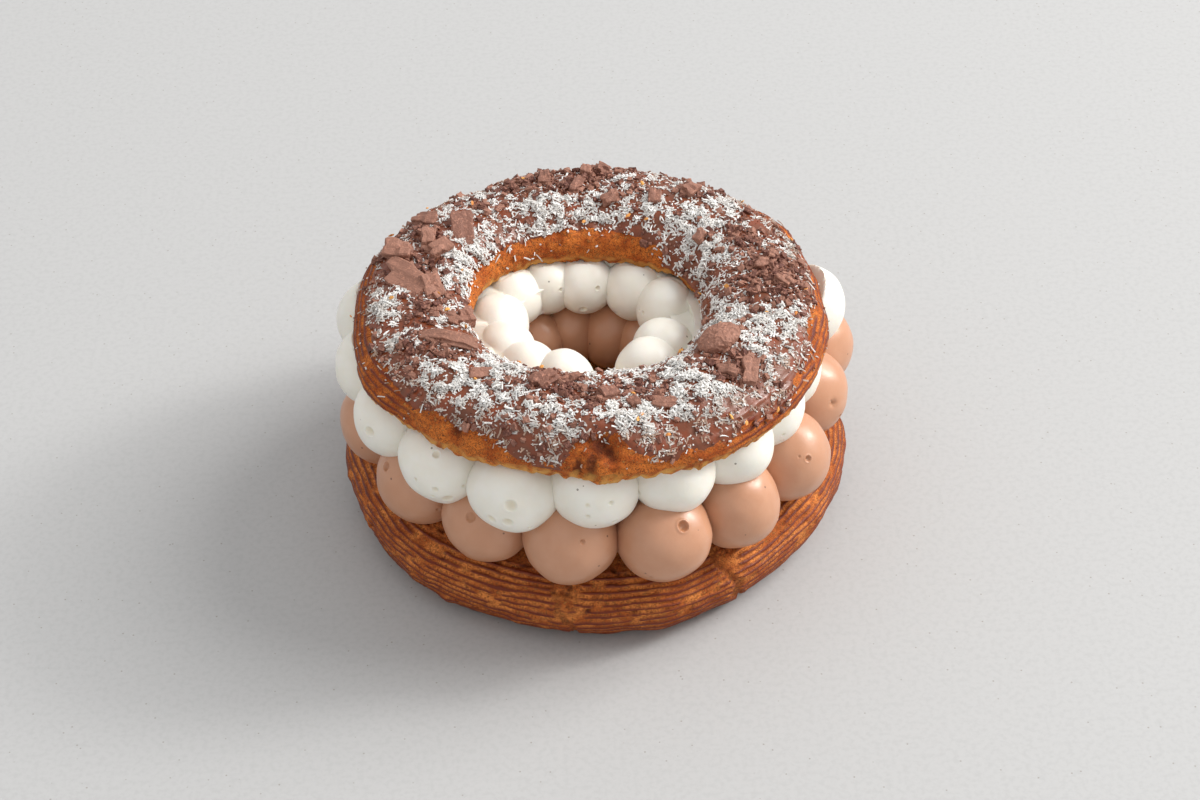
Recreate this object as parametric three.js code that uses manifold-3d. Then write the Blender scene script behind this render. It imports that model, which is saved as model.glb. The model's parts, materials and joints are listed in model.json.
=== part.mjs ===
// A ring pastry in four layers: a ridged choux base, a ring of chocolate cream dollops,
// a ring of vanilla cream dollops, and a choux lid strewn with chocolate chips and slabs.
// Millimetres, +Z up, the origin on the ground under the middle of the pastry, the shown front towards -Y.
// Every shape is made round the middle of the base's ring, and the group then moves it into place.
import * as THREE from "three";
import { mergeVertices } from "three/addons/utils/BufferGeometryUtils.js";
import Module from "manifold-3d";

const wasm = await Module();
wasm.setup();

// Driving dimensions

const GAP = 0.3; // free space left between two layers that touch
const RING_MIDDLE = [-1.3, -0.03]; // the middle of the base's ring, seen from the middle of the whole pastry

const BASE = {
  outerRadius: 45.9,
  holeRadius: 10.0,
  height: 14.8,
  widestHeight: 8.6,
  shoulderWidth: 8.4, // from the flat top out to the widest circle
  ridges: 9,
  ridgeDepth: 0.55,
  ridgeFrom: -52, // degrees round the shoulder, 0 at the widest circle, 90 at the top
  ridgeTo: 80,
  footInset: 7.6, // how far the foot stays inside the widest circle
  steps: 42,
  // Where its outline swells or falls in: degrees round the ring, spread in degrees, millimetres.
  swellings: [
    [178, 12, 0.4],
    [203, 12, -0.4],
    [288, 8, 0.8],
    [321, 19, -1.6],
    [355, 10, 0.4],
  ],
};

const LID = {
  centre: [0, -2.5], // it was set down a little towards the front
  tip: [-1.2, 0.8], // degrees about X and then Y, as it leans on the cream
  outerRadius: 43.0,
  holeRadius: 20.5,
  under: 39.9, // height of the cut underside
  widestHeight: 41.7,
  crestRadius: 31.7,
  crestHeight: 49.1,
  steps: 42,
  swellings: [
    [4, 8, -0.9],
    [34, 8, 1.6],
    [112, 9, -0.4],
    [208, 9, 1.2],
    [254, 16, -1.2],
    [271, 4, 1.0],
    [300, 10, 1.0],
  ],
};

// The ring inside the cream, out of sight, where the two layers meet on a flat face.
const CONTACT = { height: 27.4, from: 11.5, to: 43.5 };

// One entry for each dollop, anticlockwise from the right: where it stands, how far out, its half width.
// Each inner circle has a middle of its own.
const CHOCOLATE = {
  height: 22.7,
  halfHeight: 8.5,
  outer: {
    angles: [-2, 16, 42, 66, 91, 116, 141, 166, 190, 216.5, 240.5, 263.5, 287, 308.8, 331],
    reach: [39.2, 43, 40.6, 40, 40, 39.6, 39.8, 39.2, 39, 38.2, 38, 39.4, 40.9, 39.8, 39.6],
    half: [8.4, 8.4, 8.3, 8.5, 8.2, 8.4, 8.5, 8.3, 8.3, 8.5, 8.4, 8.6, 8.6, 8.2, 8.4],
  },
  inner: {
    middle: [-0.8, 1.3],
    angles: [18, 45, 72, 101, 128, 155, 183, 211, 239, 267, 295, 322, 350],
    reach: [17.6, 17.4, 16.6, 17.2, 17.4, 17.6, 17.6, 17.4, 17.6, 17.2, 17.5, 17.6, 17.8],
    half: [5.8, 6, 6.2, 5.6, 5.8, 6, 5.8, 6, 5.8, 6, 5.8, 6, 5.8],
    deep: 7.4,
    tall: 7.4,
    height: 22.9,
  },
  cores: [{ from: 19, to: 36, low: BASE.height + GAP, high: CONTACT.height }],
};

const VANILLA = {
  height: 34.3,
  halfHeight: 8.1,
  outer: {
    angles: [13, 34.5, 56, 77, 99, 122, 146, 168.5, 188, 207.5, 228.5, 249.5, 270, 291, 310.7, 328.5, 346.5],
    reach: [40.6, 38.4, 38.2, 37.8, 38, 38.2, 39, 40.4, 39.4, 39, 39.1, 39.1, 37.9, 37.7, 36.9, 35.5, 35.4],
    half: [7.9, 7.8, 8, 7.8, 8, 7.7, 8, 7.8, 7.8, 8.1, 8.4, 8.4, 8.1, 7.7, 7.9, 7.5, 7.4],
    lower: [0, 0, 0.4, 0, 0.5, 0, 0.3, 0, 0, 0.6, 1.3, 1.6, 0.2, 0, 0, 0, 0],
  },
  inner: {
    middle: [-1.5, 3.2],
    angles: [21, 51, 88, 114, 141, 172, 202, 228, 255.5, 315.5, 340],
    reach: [17, 15.8, 14.4, 16.2, 17, 15.9, 15.3, 15.2, 14.7, 16.4, 15.7],
    half: [6, 6.3, 5.9, 5.7, 6.1, 6.6, 6.4, 6.1, 6, 6.2, 6],
    deep: 5.9,
    tall: 5.9,
    height: 34.3,
  },
  cores: [
    { from: 19, to: 35, low: CONTACT.height + GAP, high: 38.6 },
    { from: 15.2, to: 20, low: 31.5, high: 37 },
  ],
};

// How finely a dollop's faces are divided, round it and from its top to its foot.
const OUTER_FACES = [9, 6];
const INNER_FACES = [7, 5];

// Slabs and curls too large to be strewn: angle, distance from the lid's centre, turn, and size.
const SLABS = [
  { angle: 174.5, reach: 32.5, turn: -28, size: [10, 4.4, 1.8] },
  { angle: 143, reach: 29.2, turn: 83, size: [8.2, 4.2, 1.4] },
  { angle: 213, reach: 29.4, turn: -40, size: [10, 2.6, 1.8] },
  { angle: 324.6, reach: 27.8, turn: 20, size: [8.4, 6.6, 2.8] },
  { angle: 318, reach: 35.2, turn: 60, size: [5, 4, 2.4] },
  { angle: 312.6, reach: 36.9, turn: -10, size: [4, 3, 2] },
  { angle: 163.3, reach: 36, turn: 30, size: [5.2, 3.4, 2.2] },
  { angle: 156, reach: 32, turn: 40, size: [6, 3, 1.6] },
  { angle: 144.6, reach: 36.6, turn: 10, size: [5, 3.6, 2] },
  { angle: 253.7, reach: 29.2, turn: 30, size: [5.4, 3, 1.8] },
  { angle: 274.4, reach: 31.2, turn: 15, size: [4, 3.4, 2.4] },
  { angle: 291.4, reach: 34.6, turn: 13, size: [4.8, 2.2, 1.6] },
  { angle: 38.2, reach: 26.5, turn: 50, size: [4, 3, 2] },
  { angle: 65.2, reach: 29.5, turn: 70, size: [4.4, 3, 2] },
  { angle: 91, reach: 36.4, turn: 25, size: [4, 3.2, 2.6] },
  { angle: 94.8, reach: 30.4, turn: 80, size: [4, 3, 2] },
];
const CHIPS = { count: 18, small: 1.6, large: 3.4, seed: 11 };

// Chance, angles and outlines

// A seeded draw from 0 to 1, the same on every run.
function drawer(seed) {
  let state = seed;
  return () => {
    state = (state * 1664525 + 1013904223) % 4294967296;
    return state / 4294967296;
  };
}

const radians = THREE.MathUtils.degToRad;

// How far an outline stands out at an angle, from its list of swellings.
function swellAt(angle, swellings) {
  return swellings.reduce((sum, [at, spread, height]) => {
    const away = Math.atan2(Math.sin(angle - radians(at)), Math.cos(angle - radians(at)));
    return sum + height * Math.exp(-((away / radians(spread)) ** 2));
  }, 0);
}

// Solids

function solidOf(geometry) {
  const bare = geometry.clone();
  bare.deleteAttribute("normal");
  bare.deleteAttribute("uv");
  const merged = mergeVertices(bare, 1e-4);
  return new wasm.Manifold(
    new wasm.Mesh({
      numProp: 3,
      vertProperties: merged.attributes.position.array,
      triVerts: new Uint32Array(merged.index.array),
    }),
  );
}

function geometryOf(solid) {
  const mesh = solid.getMesh();
  const geometry = new THREE.BufferGeometry();
  geometry.setAttribute("position", new THREE.BufferAttribute(mesh.vertProperties, 3));
  geometry.setIndex(new THREE.BufferAttribute(mesh.triVerts, 1));
  geometry.computeVertexNormals();
  return geometry;
}

function joined(solids) {
  return wasm.Manifold.union(solids);
}

// Keeps the largest of a solid's separate bodies, so that no loose scrap or closed hollow stays.
function largestBody(solid) {
  return solid.decompose().sort((a, b) => b.volume() - a.volume())[0];
}

// Moves each vertex of a geometry by change(angle, distance, z), which returns a new [distance, z].
function reshaped(geometry, change) {
  const position = geometry.attributes.position;
  for (let i = 0; i < position.count; i++) {
    const x = position.getX(i);
    const y = position.getY(i);
    const angle = Math.atan2(y, x);
    const [distance, z] = change(angle, Math.hypot(x, y), position.getZ(i));
    position.setXYZ(i, distance * Math.cos(angle), distance * Math.sin(angle), z);
  }
  return geometry;
}

// A ring turned from a section, a list of [distance, z] that runs anticlockwise round the dough.
function turnedRing(section, steps) {
  const points = section.map(([distance, z]) => new THREE.Vector2(distance, z));
  points.push(points[0].clone());
  return new THREE.LatheGeometry(points, steps).rotateX(Math.PI / 2);
}

// Points on an ellipse from one angle to another.
function arc(centre, size, from, to, count) {
  return Array.from({ length: count }, (_, i) => {
    const angle = radians(THREE.MathUtils.lerp(from, to, i / (count - 1)));
    return [centre[0] + size[0] * Math.cos(angle), centre[1] + size[1] * Math.sin(angle)];
  });
}

// The base: a low ring, ridged round its outer shoulder as a star nozzle leaves it

function baseOutline(angle) {
  const oval = 0.8 * Math.cos(2 * angle) + 0.5 * Math.cos(angle);
  return oval + 0.2 * Math.sin(7 * angle) + swellAt(angle, BASE.swellings);
}

function baseSection() {
  const { outerRadius, holeRadius, height, widestHeight, shoulderWidth } = BASE;
  const shoulder = [outerRadius - shoulderWidth, widestHeight];
  const upper = [shoulderWidth, height - widestHeight];
  const lower = [shoulderWidth, widestHeight];
  const points = 2 * BASE.ridges + 1;
  const groove = (i) => (i % 2 ? 0 : -BASE.ridgeDepth);
  const ridged = arc([0, 0], [1, 1], BASE.ridgeFrom, BASE.ridgeTo, points).map(([c, s], i) => {
    const size = s > 0 ? upper : lower;
    const out = 1 + groove(i) / shoulderWidth;
    return [shoulder[0] + size[0] * out * c, shoulder[1] + size[1] * out * s];
  });
  const innerWidth = 6;
  const inner = arc([holeRadius + innerWidth, widestHeight], [innerWidth, height - widestHeight], 90, 180, 4);
  return [
    [outerRadius - BASE.footInset, 0],
    ...ridged,
    [outerRadius - shoulderWidth - 1, height],
    ...inner,
    [holeRadius + 0.8, 3.6],
    [holeRadius + 4, 0],
  ];
}

function makeBase() {
  const middle = (BASE.outerRadius + BASE.holeRadius) / 2;
  const ring = reshaped(turnedRing(baseSection(), BASE.steps), (angle, distance, z) => {
    const share = Math.max(0, (distance - middle) / (BASE.outerRadius - middle));
    return [distance + baseOutline(angle) * share, z];
  });
  return solidOf(ring);
}

// The cream: dollops piped side by side in an outer and an inner circle

function dollop({ angle, reach, radial, tangential, vertical, height, faces }) {
  const shape = new THREE.SphereGeometry(1, ...faces).rotateX(Math.PI / 2);
  shape.scale(radial, tangential, vertical);
  shape.translate(reach, 0, height);
  shape.rotateZ(radians(angle));
  return solidOf(shape);
}

function outerDollops(cream, grow) {
  const { angles, reach, half, lower = [] } = cream.outer;
  return angles.map((angle, i) =>
    dollop({
      angle,
      reach: reach[i],
      radial: half[i] + grow,
      tangential: half[i] + grow,
      vertical: cream.halfHeight + grow,
      height: cream.height - (lower[i] ?? 0),
      faces: OUTER_FACES,
    }),
  );
}

function innerDollops(cream, grow) {
  const { middle, angles, reach, half, deep, tall, height } = cream.inner;
  const dollops = angles.map((angle, i) =>
    dollop({
      angle,
      reach: reach[i],
      radial: deep + grow,
      tangential: half[i] + grow,
      vertical: tall + grow,
      height,
      faces: INNER_FACES,
    }),
  );
  return dollops.map((solid) => solid.translate([...middle, 0]));
}

// A plain ring with a rectangular section.
function band({ from, to, low, high }, grow = 0) {
  const section = [
    [from - grow, low - grow],
    [to + grow, low - grow],
    [to + grow, high + grow],
    [from - grow, high + grow],
  ];
  return solidOf(turnedRing(section, BASE.steps / 2));
}

// A whole layer of cream, grown all over by the gap when it is used to cut its neighbour.
function creamLayer(cream, grow = 0) {
  return joined([...cream.cores.map((core) => band(core, grow)), ...outerDollops(cream, grow), ...innerDollops(cream, grow)]);
}

// A wide disc from one height to another, to trim a layer flat.
function slab(low, high) {
  const half = high - low;
  const disc = new THREE.CylinderGeometry(80, 80, half, 24).rotateX(Math.PI / 2);
  return solidOf(disc.translate(0, 0, low + half / 2));
}

// The lid: the domed top of the baked ring, cut flat underneath

function lidOutline(angle) {
  return 0.2 * Math.cos(9 * angle) + swellAt(angle, LID.swellings);
}

function lidHole(angle) {
  const oval = Math.cos(2 * angle) - 0.6 * Math.cos(4 * angle);
  return oval + 0.5 * Math.sin(angle) - 0.6 * Math.cos(angle);
}

function lidSwell(angle) {
  return 0.35 * Math.cos(4 * angle + 1.4) + 0.3 * Math.cos(7 * angle) + 0.2 * Math.cos(13 * angle + 0.7);
}

function lidSection(grow) {
  const { outerRadius, holeRadius, under, widestHeight, crestRadius, crestHeight } = LID;
  const outerSize = [outerRadius - crestRadius + grow, crestHeight - widestHeight + grow];
  const innerSize = [crestRadius - holeRadius + grow, crestHeight - widestHeight + grow];
  const outerDome = arc([crestRadius, widestHeight], outerSize, 0, 90, 8);
  const innerDome = arc([crestRadius, widestHeight], innerSize, 90, 180, 6).slice(1);
  return [
    [outerRadius - 0.7 + grow, under - grow],
    ...outerDome,
    ...innerDome,
    [holeRadius + 0.7 - grow, under - grow],
  ];
}

// Tips a shape that was made round the Z axis about the lid's underside, and moves it to the lid's place.
function setDown(geometry) {
  const [aboutX, aboutY] = LID.tip.map(radians);
  geometry.translate(0, 0, -LID.under);
  geometry.rotateX(aboutX);
  geometry.rotateY(aboutY);
  return geometry.translate(...LID.centre, LID.under);
}

function lidRing(grow = 0) {
  const { outerRadius, holeRadius, under, crestRadius, crestHeight } = LID;
  const ring = reshaped(turnedRing(lidSection(grow), LID.steps), (angle, distance, z) => {
    const outwards = Math.max(0, (distance - crestRadius) / (outerRadius - crestRadius));
    const inwards = Math.max(0, (crestRadius - distance) / (crestRadius - holeRadius));
    const upwards = Math.max(0, (z - under) / (crestHeight - under));
    return [
      distance + lidOutline(angle) * outwards + lidHole(angle) * inwards,
      z + lidSwell(angle) * upwards ** 2,
    ];
  });
  return solidOf(setDown(ring));
}

// The height of the lid's dome at a distance from its centre.
function lidHeight(distance) {
  const { outerRadius, holeRadius, widestHeight, crestRadius, crestHeight } = LID;
  const side = distance > crestRadius ? outerRadius - crestRadius : crestRadius - holeRadius;
  const share = Math.min(1, Math.abs(distance - crestRadius) / side);
  return widestHeight + (crestHeight - widestHeight) * Math.sqrt(1 - share ** 2);
}

// A broken piece of chocolate: a box with shifted corners, leant with the dome and sunk a little into it.
function brokenPiece({ angle, reach, turn, size }, draw) {
  const piece = new THREE.BoxGeometry(...size);
  const corners = new Map();
  const position = piece.attributes.position;
  for (let i = 0; i < position.count; i++) {
    const corner = [position.getX(i), position.getY(i), position.getZ(i)];
    const key = corner.map(Math.sign).join();
    if (!corners.has(key)) corners.set(key, size.map((side) => side * (draw() - 0.5) * 0.35));
    const shift = corners.get(key);
    position.setXYZ(i, ...corner.map((value, axis) => value + shift[axis]));
  }
  const step = 0.5;
  const slope = (lidHeight(reach + step) - lidHeight(reach - step)) / (2 * step);
  piece.rotateZ(radians(turn));
  piece.rotateY(-Math.atan(slope));
  piece.translate(reach, 0, lidHeight(reach) + size[2] * 0.12 + lidSwell(radians(angle)));
  piece.rotateZ(radians(angle));
  return solidOf(setDown(piece));
}

function strewnChips(draw) {
  const turnBetweenChips = 137.5; // spreads the chips evenly round the ring
  return Array.from({ length: CHIPS.count }, (_, i) => {
    const long = THREE.MathUtils.lerp(CHIPS.small, CHIPS.large, draw() ** 2);
    const reach = THREE.MathUtils.lerp(LID.holeRadius + 5, LID.outerRadius - 5, draw());
    const size = [long, long * (0.6 + 0.3 * draw()), long * (0.5 + 0.2 * draw())];
    return brokenPiece({ angle: i * turnBetweenChips, reach, turn: 360 * draw(), size }, draw);
  });
}

function makeLid() {
  const draw = drawer(CHIPS.seed);
  const slabs = SLABS.map((piece) => brokenPiece(piece, draw));
  return largestBody(joined([lidRing(), ...slabs, ...strewnChips(draw)]));
}

// The layers, each cut clear of what it rests on

const baseTop = slab(0, BASE.height + GAP);
const overContact = band({ ...CONTACT, low: CONTACT.height, high: LID.under });
const underContact = { ...CONTACT, low: 0, high: CONTACT.height + GAP };
const vanillaClearance = creamLayer(VANILLA, GAP).subtract(band(underContact, -GAP));
const chocolateCream = creamLayer(CHOCOLATE).subtract(baseTop).subtract(overContact).subtract(vanillaClearance);
const vanillaCream = creamLayer(VANILLA).subtract(band(underContact)).subtract(lidRing(GAP));

const FINISH = {
  choux_base: { color: 0x9c5a30, roughness: 0.72 },
  chocolate_cream: { color: 0xb07c5c, roughness: 0.42 },
  vanilla_cream: { color: 0xefeadb, roughness: 0.4 },
  choux_lid: { color: 0xa0552a, roughness: 0.65 },
};

function layer(name, solid) {
  const material = new THREE.MeshStandardMaterial({ ...FINISH[name], metalness: 0 });
  const mesh = new THREE.Mesh(geometryOf(solid), material);
  mesh.name = name;
  return mesh;
}

const pastry = new THREE.Group();
pastry.position.set(...RING_MIDDLE, 0);
pastry.add(
  layer("choux_base", makeBase()),
  layer("chocolate_cream", chocolateCream),
  layer("vanilla_cream", vanillaCream),
  layer("choux_lid", makeLid()),
);

export default pastry;
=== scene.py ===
"""A split choux ring with two layers of piped cream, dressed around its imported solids.

Lengths in the tables below are millimetres. Angles are degrees, counted anticlockwise from the right as
seen from above. Meshes are in metres, in the frame of the solids.
"""

import json
import math
import random
from contextlib import contextmanager

import bpy
import numpy as np
from bpy.props import FloatProperty, FloatVectorProperty, IntProperty, PointerProperty
from mathutils import Matrix, Vector, noise
from mathutils.kdtree import KDTree

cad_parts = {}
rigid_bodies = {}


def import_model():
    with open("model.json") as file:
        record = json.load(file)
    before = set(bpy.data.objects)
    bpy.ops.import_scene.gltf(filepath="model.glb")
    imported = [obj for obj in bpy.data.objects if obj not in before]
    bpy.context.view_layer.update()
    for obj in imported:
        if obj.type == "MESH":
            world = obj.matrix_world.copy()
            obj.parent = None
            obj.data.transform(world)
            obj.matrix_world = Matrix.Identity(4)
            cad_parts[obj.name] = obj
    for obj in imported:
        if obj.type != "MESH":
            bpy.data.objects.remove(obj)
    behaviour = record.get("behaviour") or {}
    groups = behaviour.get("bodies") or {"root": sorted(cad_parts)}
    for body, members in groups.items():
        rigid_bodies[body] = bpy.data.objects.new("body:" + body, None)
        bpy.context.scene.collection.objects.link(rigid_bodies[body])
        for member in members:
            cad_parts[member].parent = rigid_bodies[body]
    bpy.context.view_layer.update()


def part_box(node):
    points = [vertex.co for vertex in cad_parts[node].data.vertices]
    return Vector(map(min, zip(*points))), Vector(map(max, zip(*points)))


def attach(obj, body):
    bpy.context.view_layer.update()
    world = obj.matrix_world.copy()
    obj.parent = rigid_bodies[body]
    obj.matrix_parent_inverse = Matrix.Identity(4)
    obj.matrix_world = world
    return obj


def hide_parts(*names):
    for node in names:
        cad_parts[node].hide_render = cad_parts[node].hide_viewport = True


bl_info = {
    "name": "Choux Ring Dresser",
    "version": (1, 0, 0),
    "blender": (4, 5, 0),
    "location": "View3D > Sidebar > Choux Ring",
    "description": "Builds the crust, cream, glaze and toppings of a filled choux ring around its solids",
    "category": "Mesh",
}

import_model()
BASE_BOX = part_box("choux_base")
LID_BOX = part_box("choux_lid")
MM = 0.001

# The photograph's view of it

PHOTO_WIDTH = 1200
PHOTO_HEIGHT = 800
FOCAL_PIXELS = 2704
FOOT_PIXEL = (594, 480)  # where the middle of the ring's foot shows
CAMERA_DISTANCE = 520 * MM
CAMERA_ELEVATION = 42.5
CAMERA_ROLL = 1.2
SENSOR_WIDTH = 36.0
FLOOR_SIZE = 4.0
LAMP_DISTANCE = 2.2
KEY_SIZE = 1.5
KEY_FROM = (0.72, 0.22, 0.66)
WINDOW_SIZE = 0.4
WINDOW_FROM = (0.82, 0.2, 0.52)
LAMP_TINT = (1.0, 0.985, 0.96)

# Where the ring's middle stands in the frame of the solids
RING_PLACE = Matrix.Translation((-1.3, -0.03, 0.0))

# The base, and where its outline swells or falls in: degrees round it, spread in degrees, how far

BASE_OUTER = 45.9
BASE_HOLE = 10.0
BASE_HEIGHT = BASE_BOX[1].z / MM
BASE_WIDEST = 8.6
BASE_SHOULDER = 8.4
BASE_FOOT_INSET = 7.6
BASE_STEPS = 660
BASE_ARC = 8.3  # the radius on which the distance up the base's shoulder is measured
BASE_SWELLINGS = [(178, 12, 0.4), (203, 12, -0.4), (288, 8, 0.8), (321, 19, -1.6), (355, 10, 0.4)]

# The lid, made round its own middle and then tipped and set down on the cream

LID_OUTER = 43.0
LID_HOLE = 20.5
LID_UNDER = 39.9
LID_WIDEST = 41.7
LID_CREST = 31.7
LID_CREST_HEIGHT = 49.1
LID_STEPS = 600
LID_ARC = 9.0  # the radius on which the distance up the lid's dome is measured
LID_RIDGE_HEIGHT = 0.26
SETTLED = 0.15  # how far one layer lies from the next
LID_SWELLINGS = [
    (4, 8, -0.9), (34, 8, 1.6), (112, 9, -0.4), (208, 9, 1.2), (254, 16, -1.2), (271, 4, 1.0),
    (300, 10, 1.0),
]
LID_TIP = Matrix.Rotation(math.radians(0.8), 4, "Y") @ Matrix.Rotation(math.radians(-1.2), 4, "X")
LID_SHIFT = -2.5
LID_SET_DOWN = (
    Matrix.Translation((0.0, LID_SHIFT, LID_UNDER)) @ LID_TIP @ Matrix.Translation((0.0, 0.0, -LID_UNDER))
)

RING_PIECES = ("base_crust", "chocolate_dollops", "vanilla_dollops")
LID_PIECES = (
    "lid_crust",
    "lid_glaze",
    "chocolate_slabs",
    "chocolate_crumbs",
    "coconut_shreds",
    "coconut_bits",
    "crust_flakes",
)

# The cream: one entry for each dollop, anticlockwise from the right

DOLLOP_FACES = (84, 52)  # round it, and from top to bottom
CORE_STEPS = 96
PITS_AT_RANDOM = {"vanilla": 46, "chocolate": 34}
LIGHT_DEPTH = 0.7
LIGHT_SPREAD = (1.0, 0.62, 0.38)

CHOCOLATE_LAYER = {
    "height": 22.7,
    "half_height": 8.5,
    "angles": [-2, 16, 42, 66, 91, 116, 141, 166, 190, 216.5, 240.5, 263.5, 287, 308.8, 331],
    "reach": [39.2, 43, 40.6, 40, 40, 39.6, 39.8, 39.2, 39, 38.2, 38, 39.4, 40.9, 39.8, 39.6],
    "half": [8.4, 8.4, 8.3, 8.5, 8.2, 8.4, 8.5, 8.3, 8.3, 8.5, 8.4, 8.6, 8.6, 8.2, 8.4],
    "lower": [0] * 15,
    "cores": [(19, 36, 15.1, 27.4)],
}
CHOCOLATE_INNER = {
    "height": 22.9,
    "size": 7.4,
    "middle": (-0.8, 1.3),
    "angles": [18, 45, 72, 101, 128, 155, 183, 211, 239, 267, 295, 322, 350],
    "reach": [17.6, 17.4, 16.6, 17.2, 17.4, 17.6, 17.6, 17.4, 17.6, 17.2, 17.5, 17.6, 17.8],
    "half": [5.8, 6, 6.2, 5.6, 5.8, 6, 5.8, 6, 5.8, 6, 5.8, 6, 5.8],
}
VANILLA_LAYER = {
    "height": 34.3,
    "half_height": 8.1,
    "angles": [13, 34.5, 56, 77, 99, 122, 146, 168.5, 188, 207.5, 228.5, 249.5, 270, 291, 310.7, 328.5, 346.5],
    "reach": [40.6, 38.4, 38.2, 37.8, 38, 38.2, 39, 40.4, 39.4, 39, 39.1, 39.1, 37.9, 37.7, 36.9, 35.5, 35.4],
    "half": [7.9, 7.8, 8, 7.8, 8, 7.7, 8, 7.8, 7.8, 8.1, 8.4, 8.4, 8.1, 7.7, 7.9, 7.5, 7.4],
    "lower": [0, 0, 0.4, 0, 0.5, 0, 0.3, 0, 0, 0.6, 1.3, 1.6, 0.2, 0, 0, 0, 0],
    "cores": [(19, 35, 27.7, 38.6), (15.2, 20, 31.5, 37)],
}
VANILLA_INNER = {
    "height": 34.3,
    "size": 5.9,
    "middle": (-1.5, 3.2),
    "angles": [21, 51, 88, 114, 141, 172, 202, 228, 255.5, 315.5, 340],
    "reach": [17, 15.8, 14.4, 16.2, 17, 15.9, 15.3, 15.2, 14.7, 16.4, 15.7],
    "half": [6, 6.3, 5.9, 5.7, 6.1, 6.6, 6.4, 6.1, 6, 6.2, 6],
}

# Burst bubbles in the cream: a point near the surface, then how wide and how deep
CHOCOLATE_PITS = [
    (15.2, -43.6, 28.7, 1.0, 0.9), (-21.6, -38.8, 27.4, 0.95, 0.55), (38.1, -25.0, 27.1, 0.6, 0.5),
    (-36.7, -25.4, 27.5, 0.85, 0.7), (7.2, -40.2, 27.4, 0.5, 0.45), (45.6, -9.0, 25.5, 0.75, 0.7),
    (33.0, -34.0, 21.0, 0.5, 0.5),
]
VANILLA_PITS = [
    (-14.3, -44.2, 35.1, 1.1, 0.6), (-17.6, -43.3, 31.5, 0.9, 0.4), (-15.0, -44.3, 31.7, 1.0, 0.45),
    (-39.1, -24.0, 35.1, 0.95, 0.55), (-27.1, -34.7, 38.5, 0.7, 0.4), (-25.5, -36.6, 30.7, 1.1, 0.25),
    (3.5, -44.6, 31.0, 0.6, 0.3), (-1.3, 12.0, 32.6, 0.75, 0.5), (4.9, 11.2, 32.0, 0.5, 0.35),
]

# Toppings on the lid: angle and distance from its middle, how far the patch spreads, how thick it lies
COCONUT_PATCHES = [
    (148.6, 25.7, 4.2, 1.1), (168.7, 25.0, 3.6, 0.8), (109.6, 27.2, 3.8, 1.1), (95, 26.5, 3.2, 0.8),
    (85.3, 25.2, 3.6, 0.9), (76, 33.5, 3.6, 0.9), (66, 27, 3.2, 0.7), (43.5, 29.6, 4.6, 1.2),
    (30, 25.5, 3.4, 0.8), (186.4, 37.0, 3.6, 1.3), (202.1, 38.3, 3.6, 1.0), (225.7, 36.0, 4.2, 1.1),
    (242.3, 34.2, 4.4, 1.3), (236, 28.0, 3.6, 1.0), (260.9, 36.0, 4.0, 1.2), (268, 26.0, 3.0, 0.8),
    (282.2, 36.0, 4.6, 1.2), (284, 27.0, 3.6, 0.9), (300.3, 35.0, 4.6, 1.3), (303, 27.5, 4.0, 1.1),
    (325.5, 36.5, 4.0, 1.3), (340, 33.0, 4.0, 1.0), (343.4, 25.2, 3.2, 0.9), (350, 37.0, 3.2, 0.7),
    (20.3, 38.6, 3.0, 0.9), (45, 38.5, 3.0, 0.7), (60, 37.0, 2.6, 0.6), (122, 37.5, 3.6, 0.8),
    (136, 33.5, 3.0, 0.7), (196, 25.5, 2.8, 0.7), (158, 26.0, 2.8, 0.7),
]
CHOCOLATE_PATCHES = [
    (99.3, 33.3, 4.6, 1.3), (86, 36.0, 4.0, 1.1), (112, 35.0, 3.6, 1.0), (73, 30.0, 3.0, 0.9),
    (57.3, 35.3, 3.6, 1.0), (11.4, 33.3, 4.6, 1.4), (357.9, 35.0, 4.0, 1.3), (27.7, 32.5, 4.2, 1.2),
    (2, 28.5, 3.4, 0.8), (165.5, 32.5, 4.4, 1.1), (152, 34.5, 3.6, 0.9), (191.5, 30.0, 4.0, 1.0),
    (209.2, 36.0, 3.6, 0.9), (215, 31.0, 3.4, 0.9), (256, 28.5, 4.2, 1.1), (266, 30.5, 3.4, 0.9),
    (290.1, 30.0, 3.6, 0.9), (276, 29.5, 3.0, 0.8), (318, 34.5, 3.4, 1.0), (312, 30.0, 3.0, 0.7),
    (351.2, 29.6, 3.4, 0.8), (131, 31.0, 3.0, 0.6),
]

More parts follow.
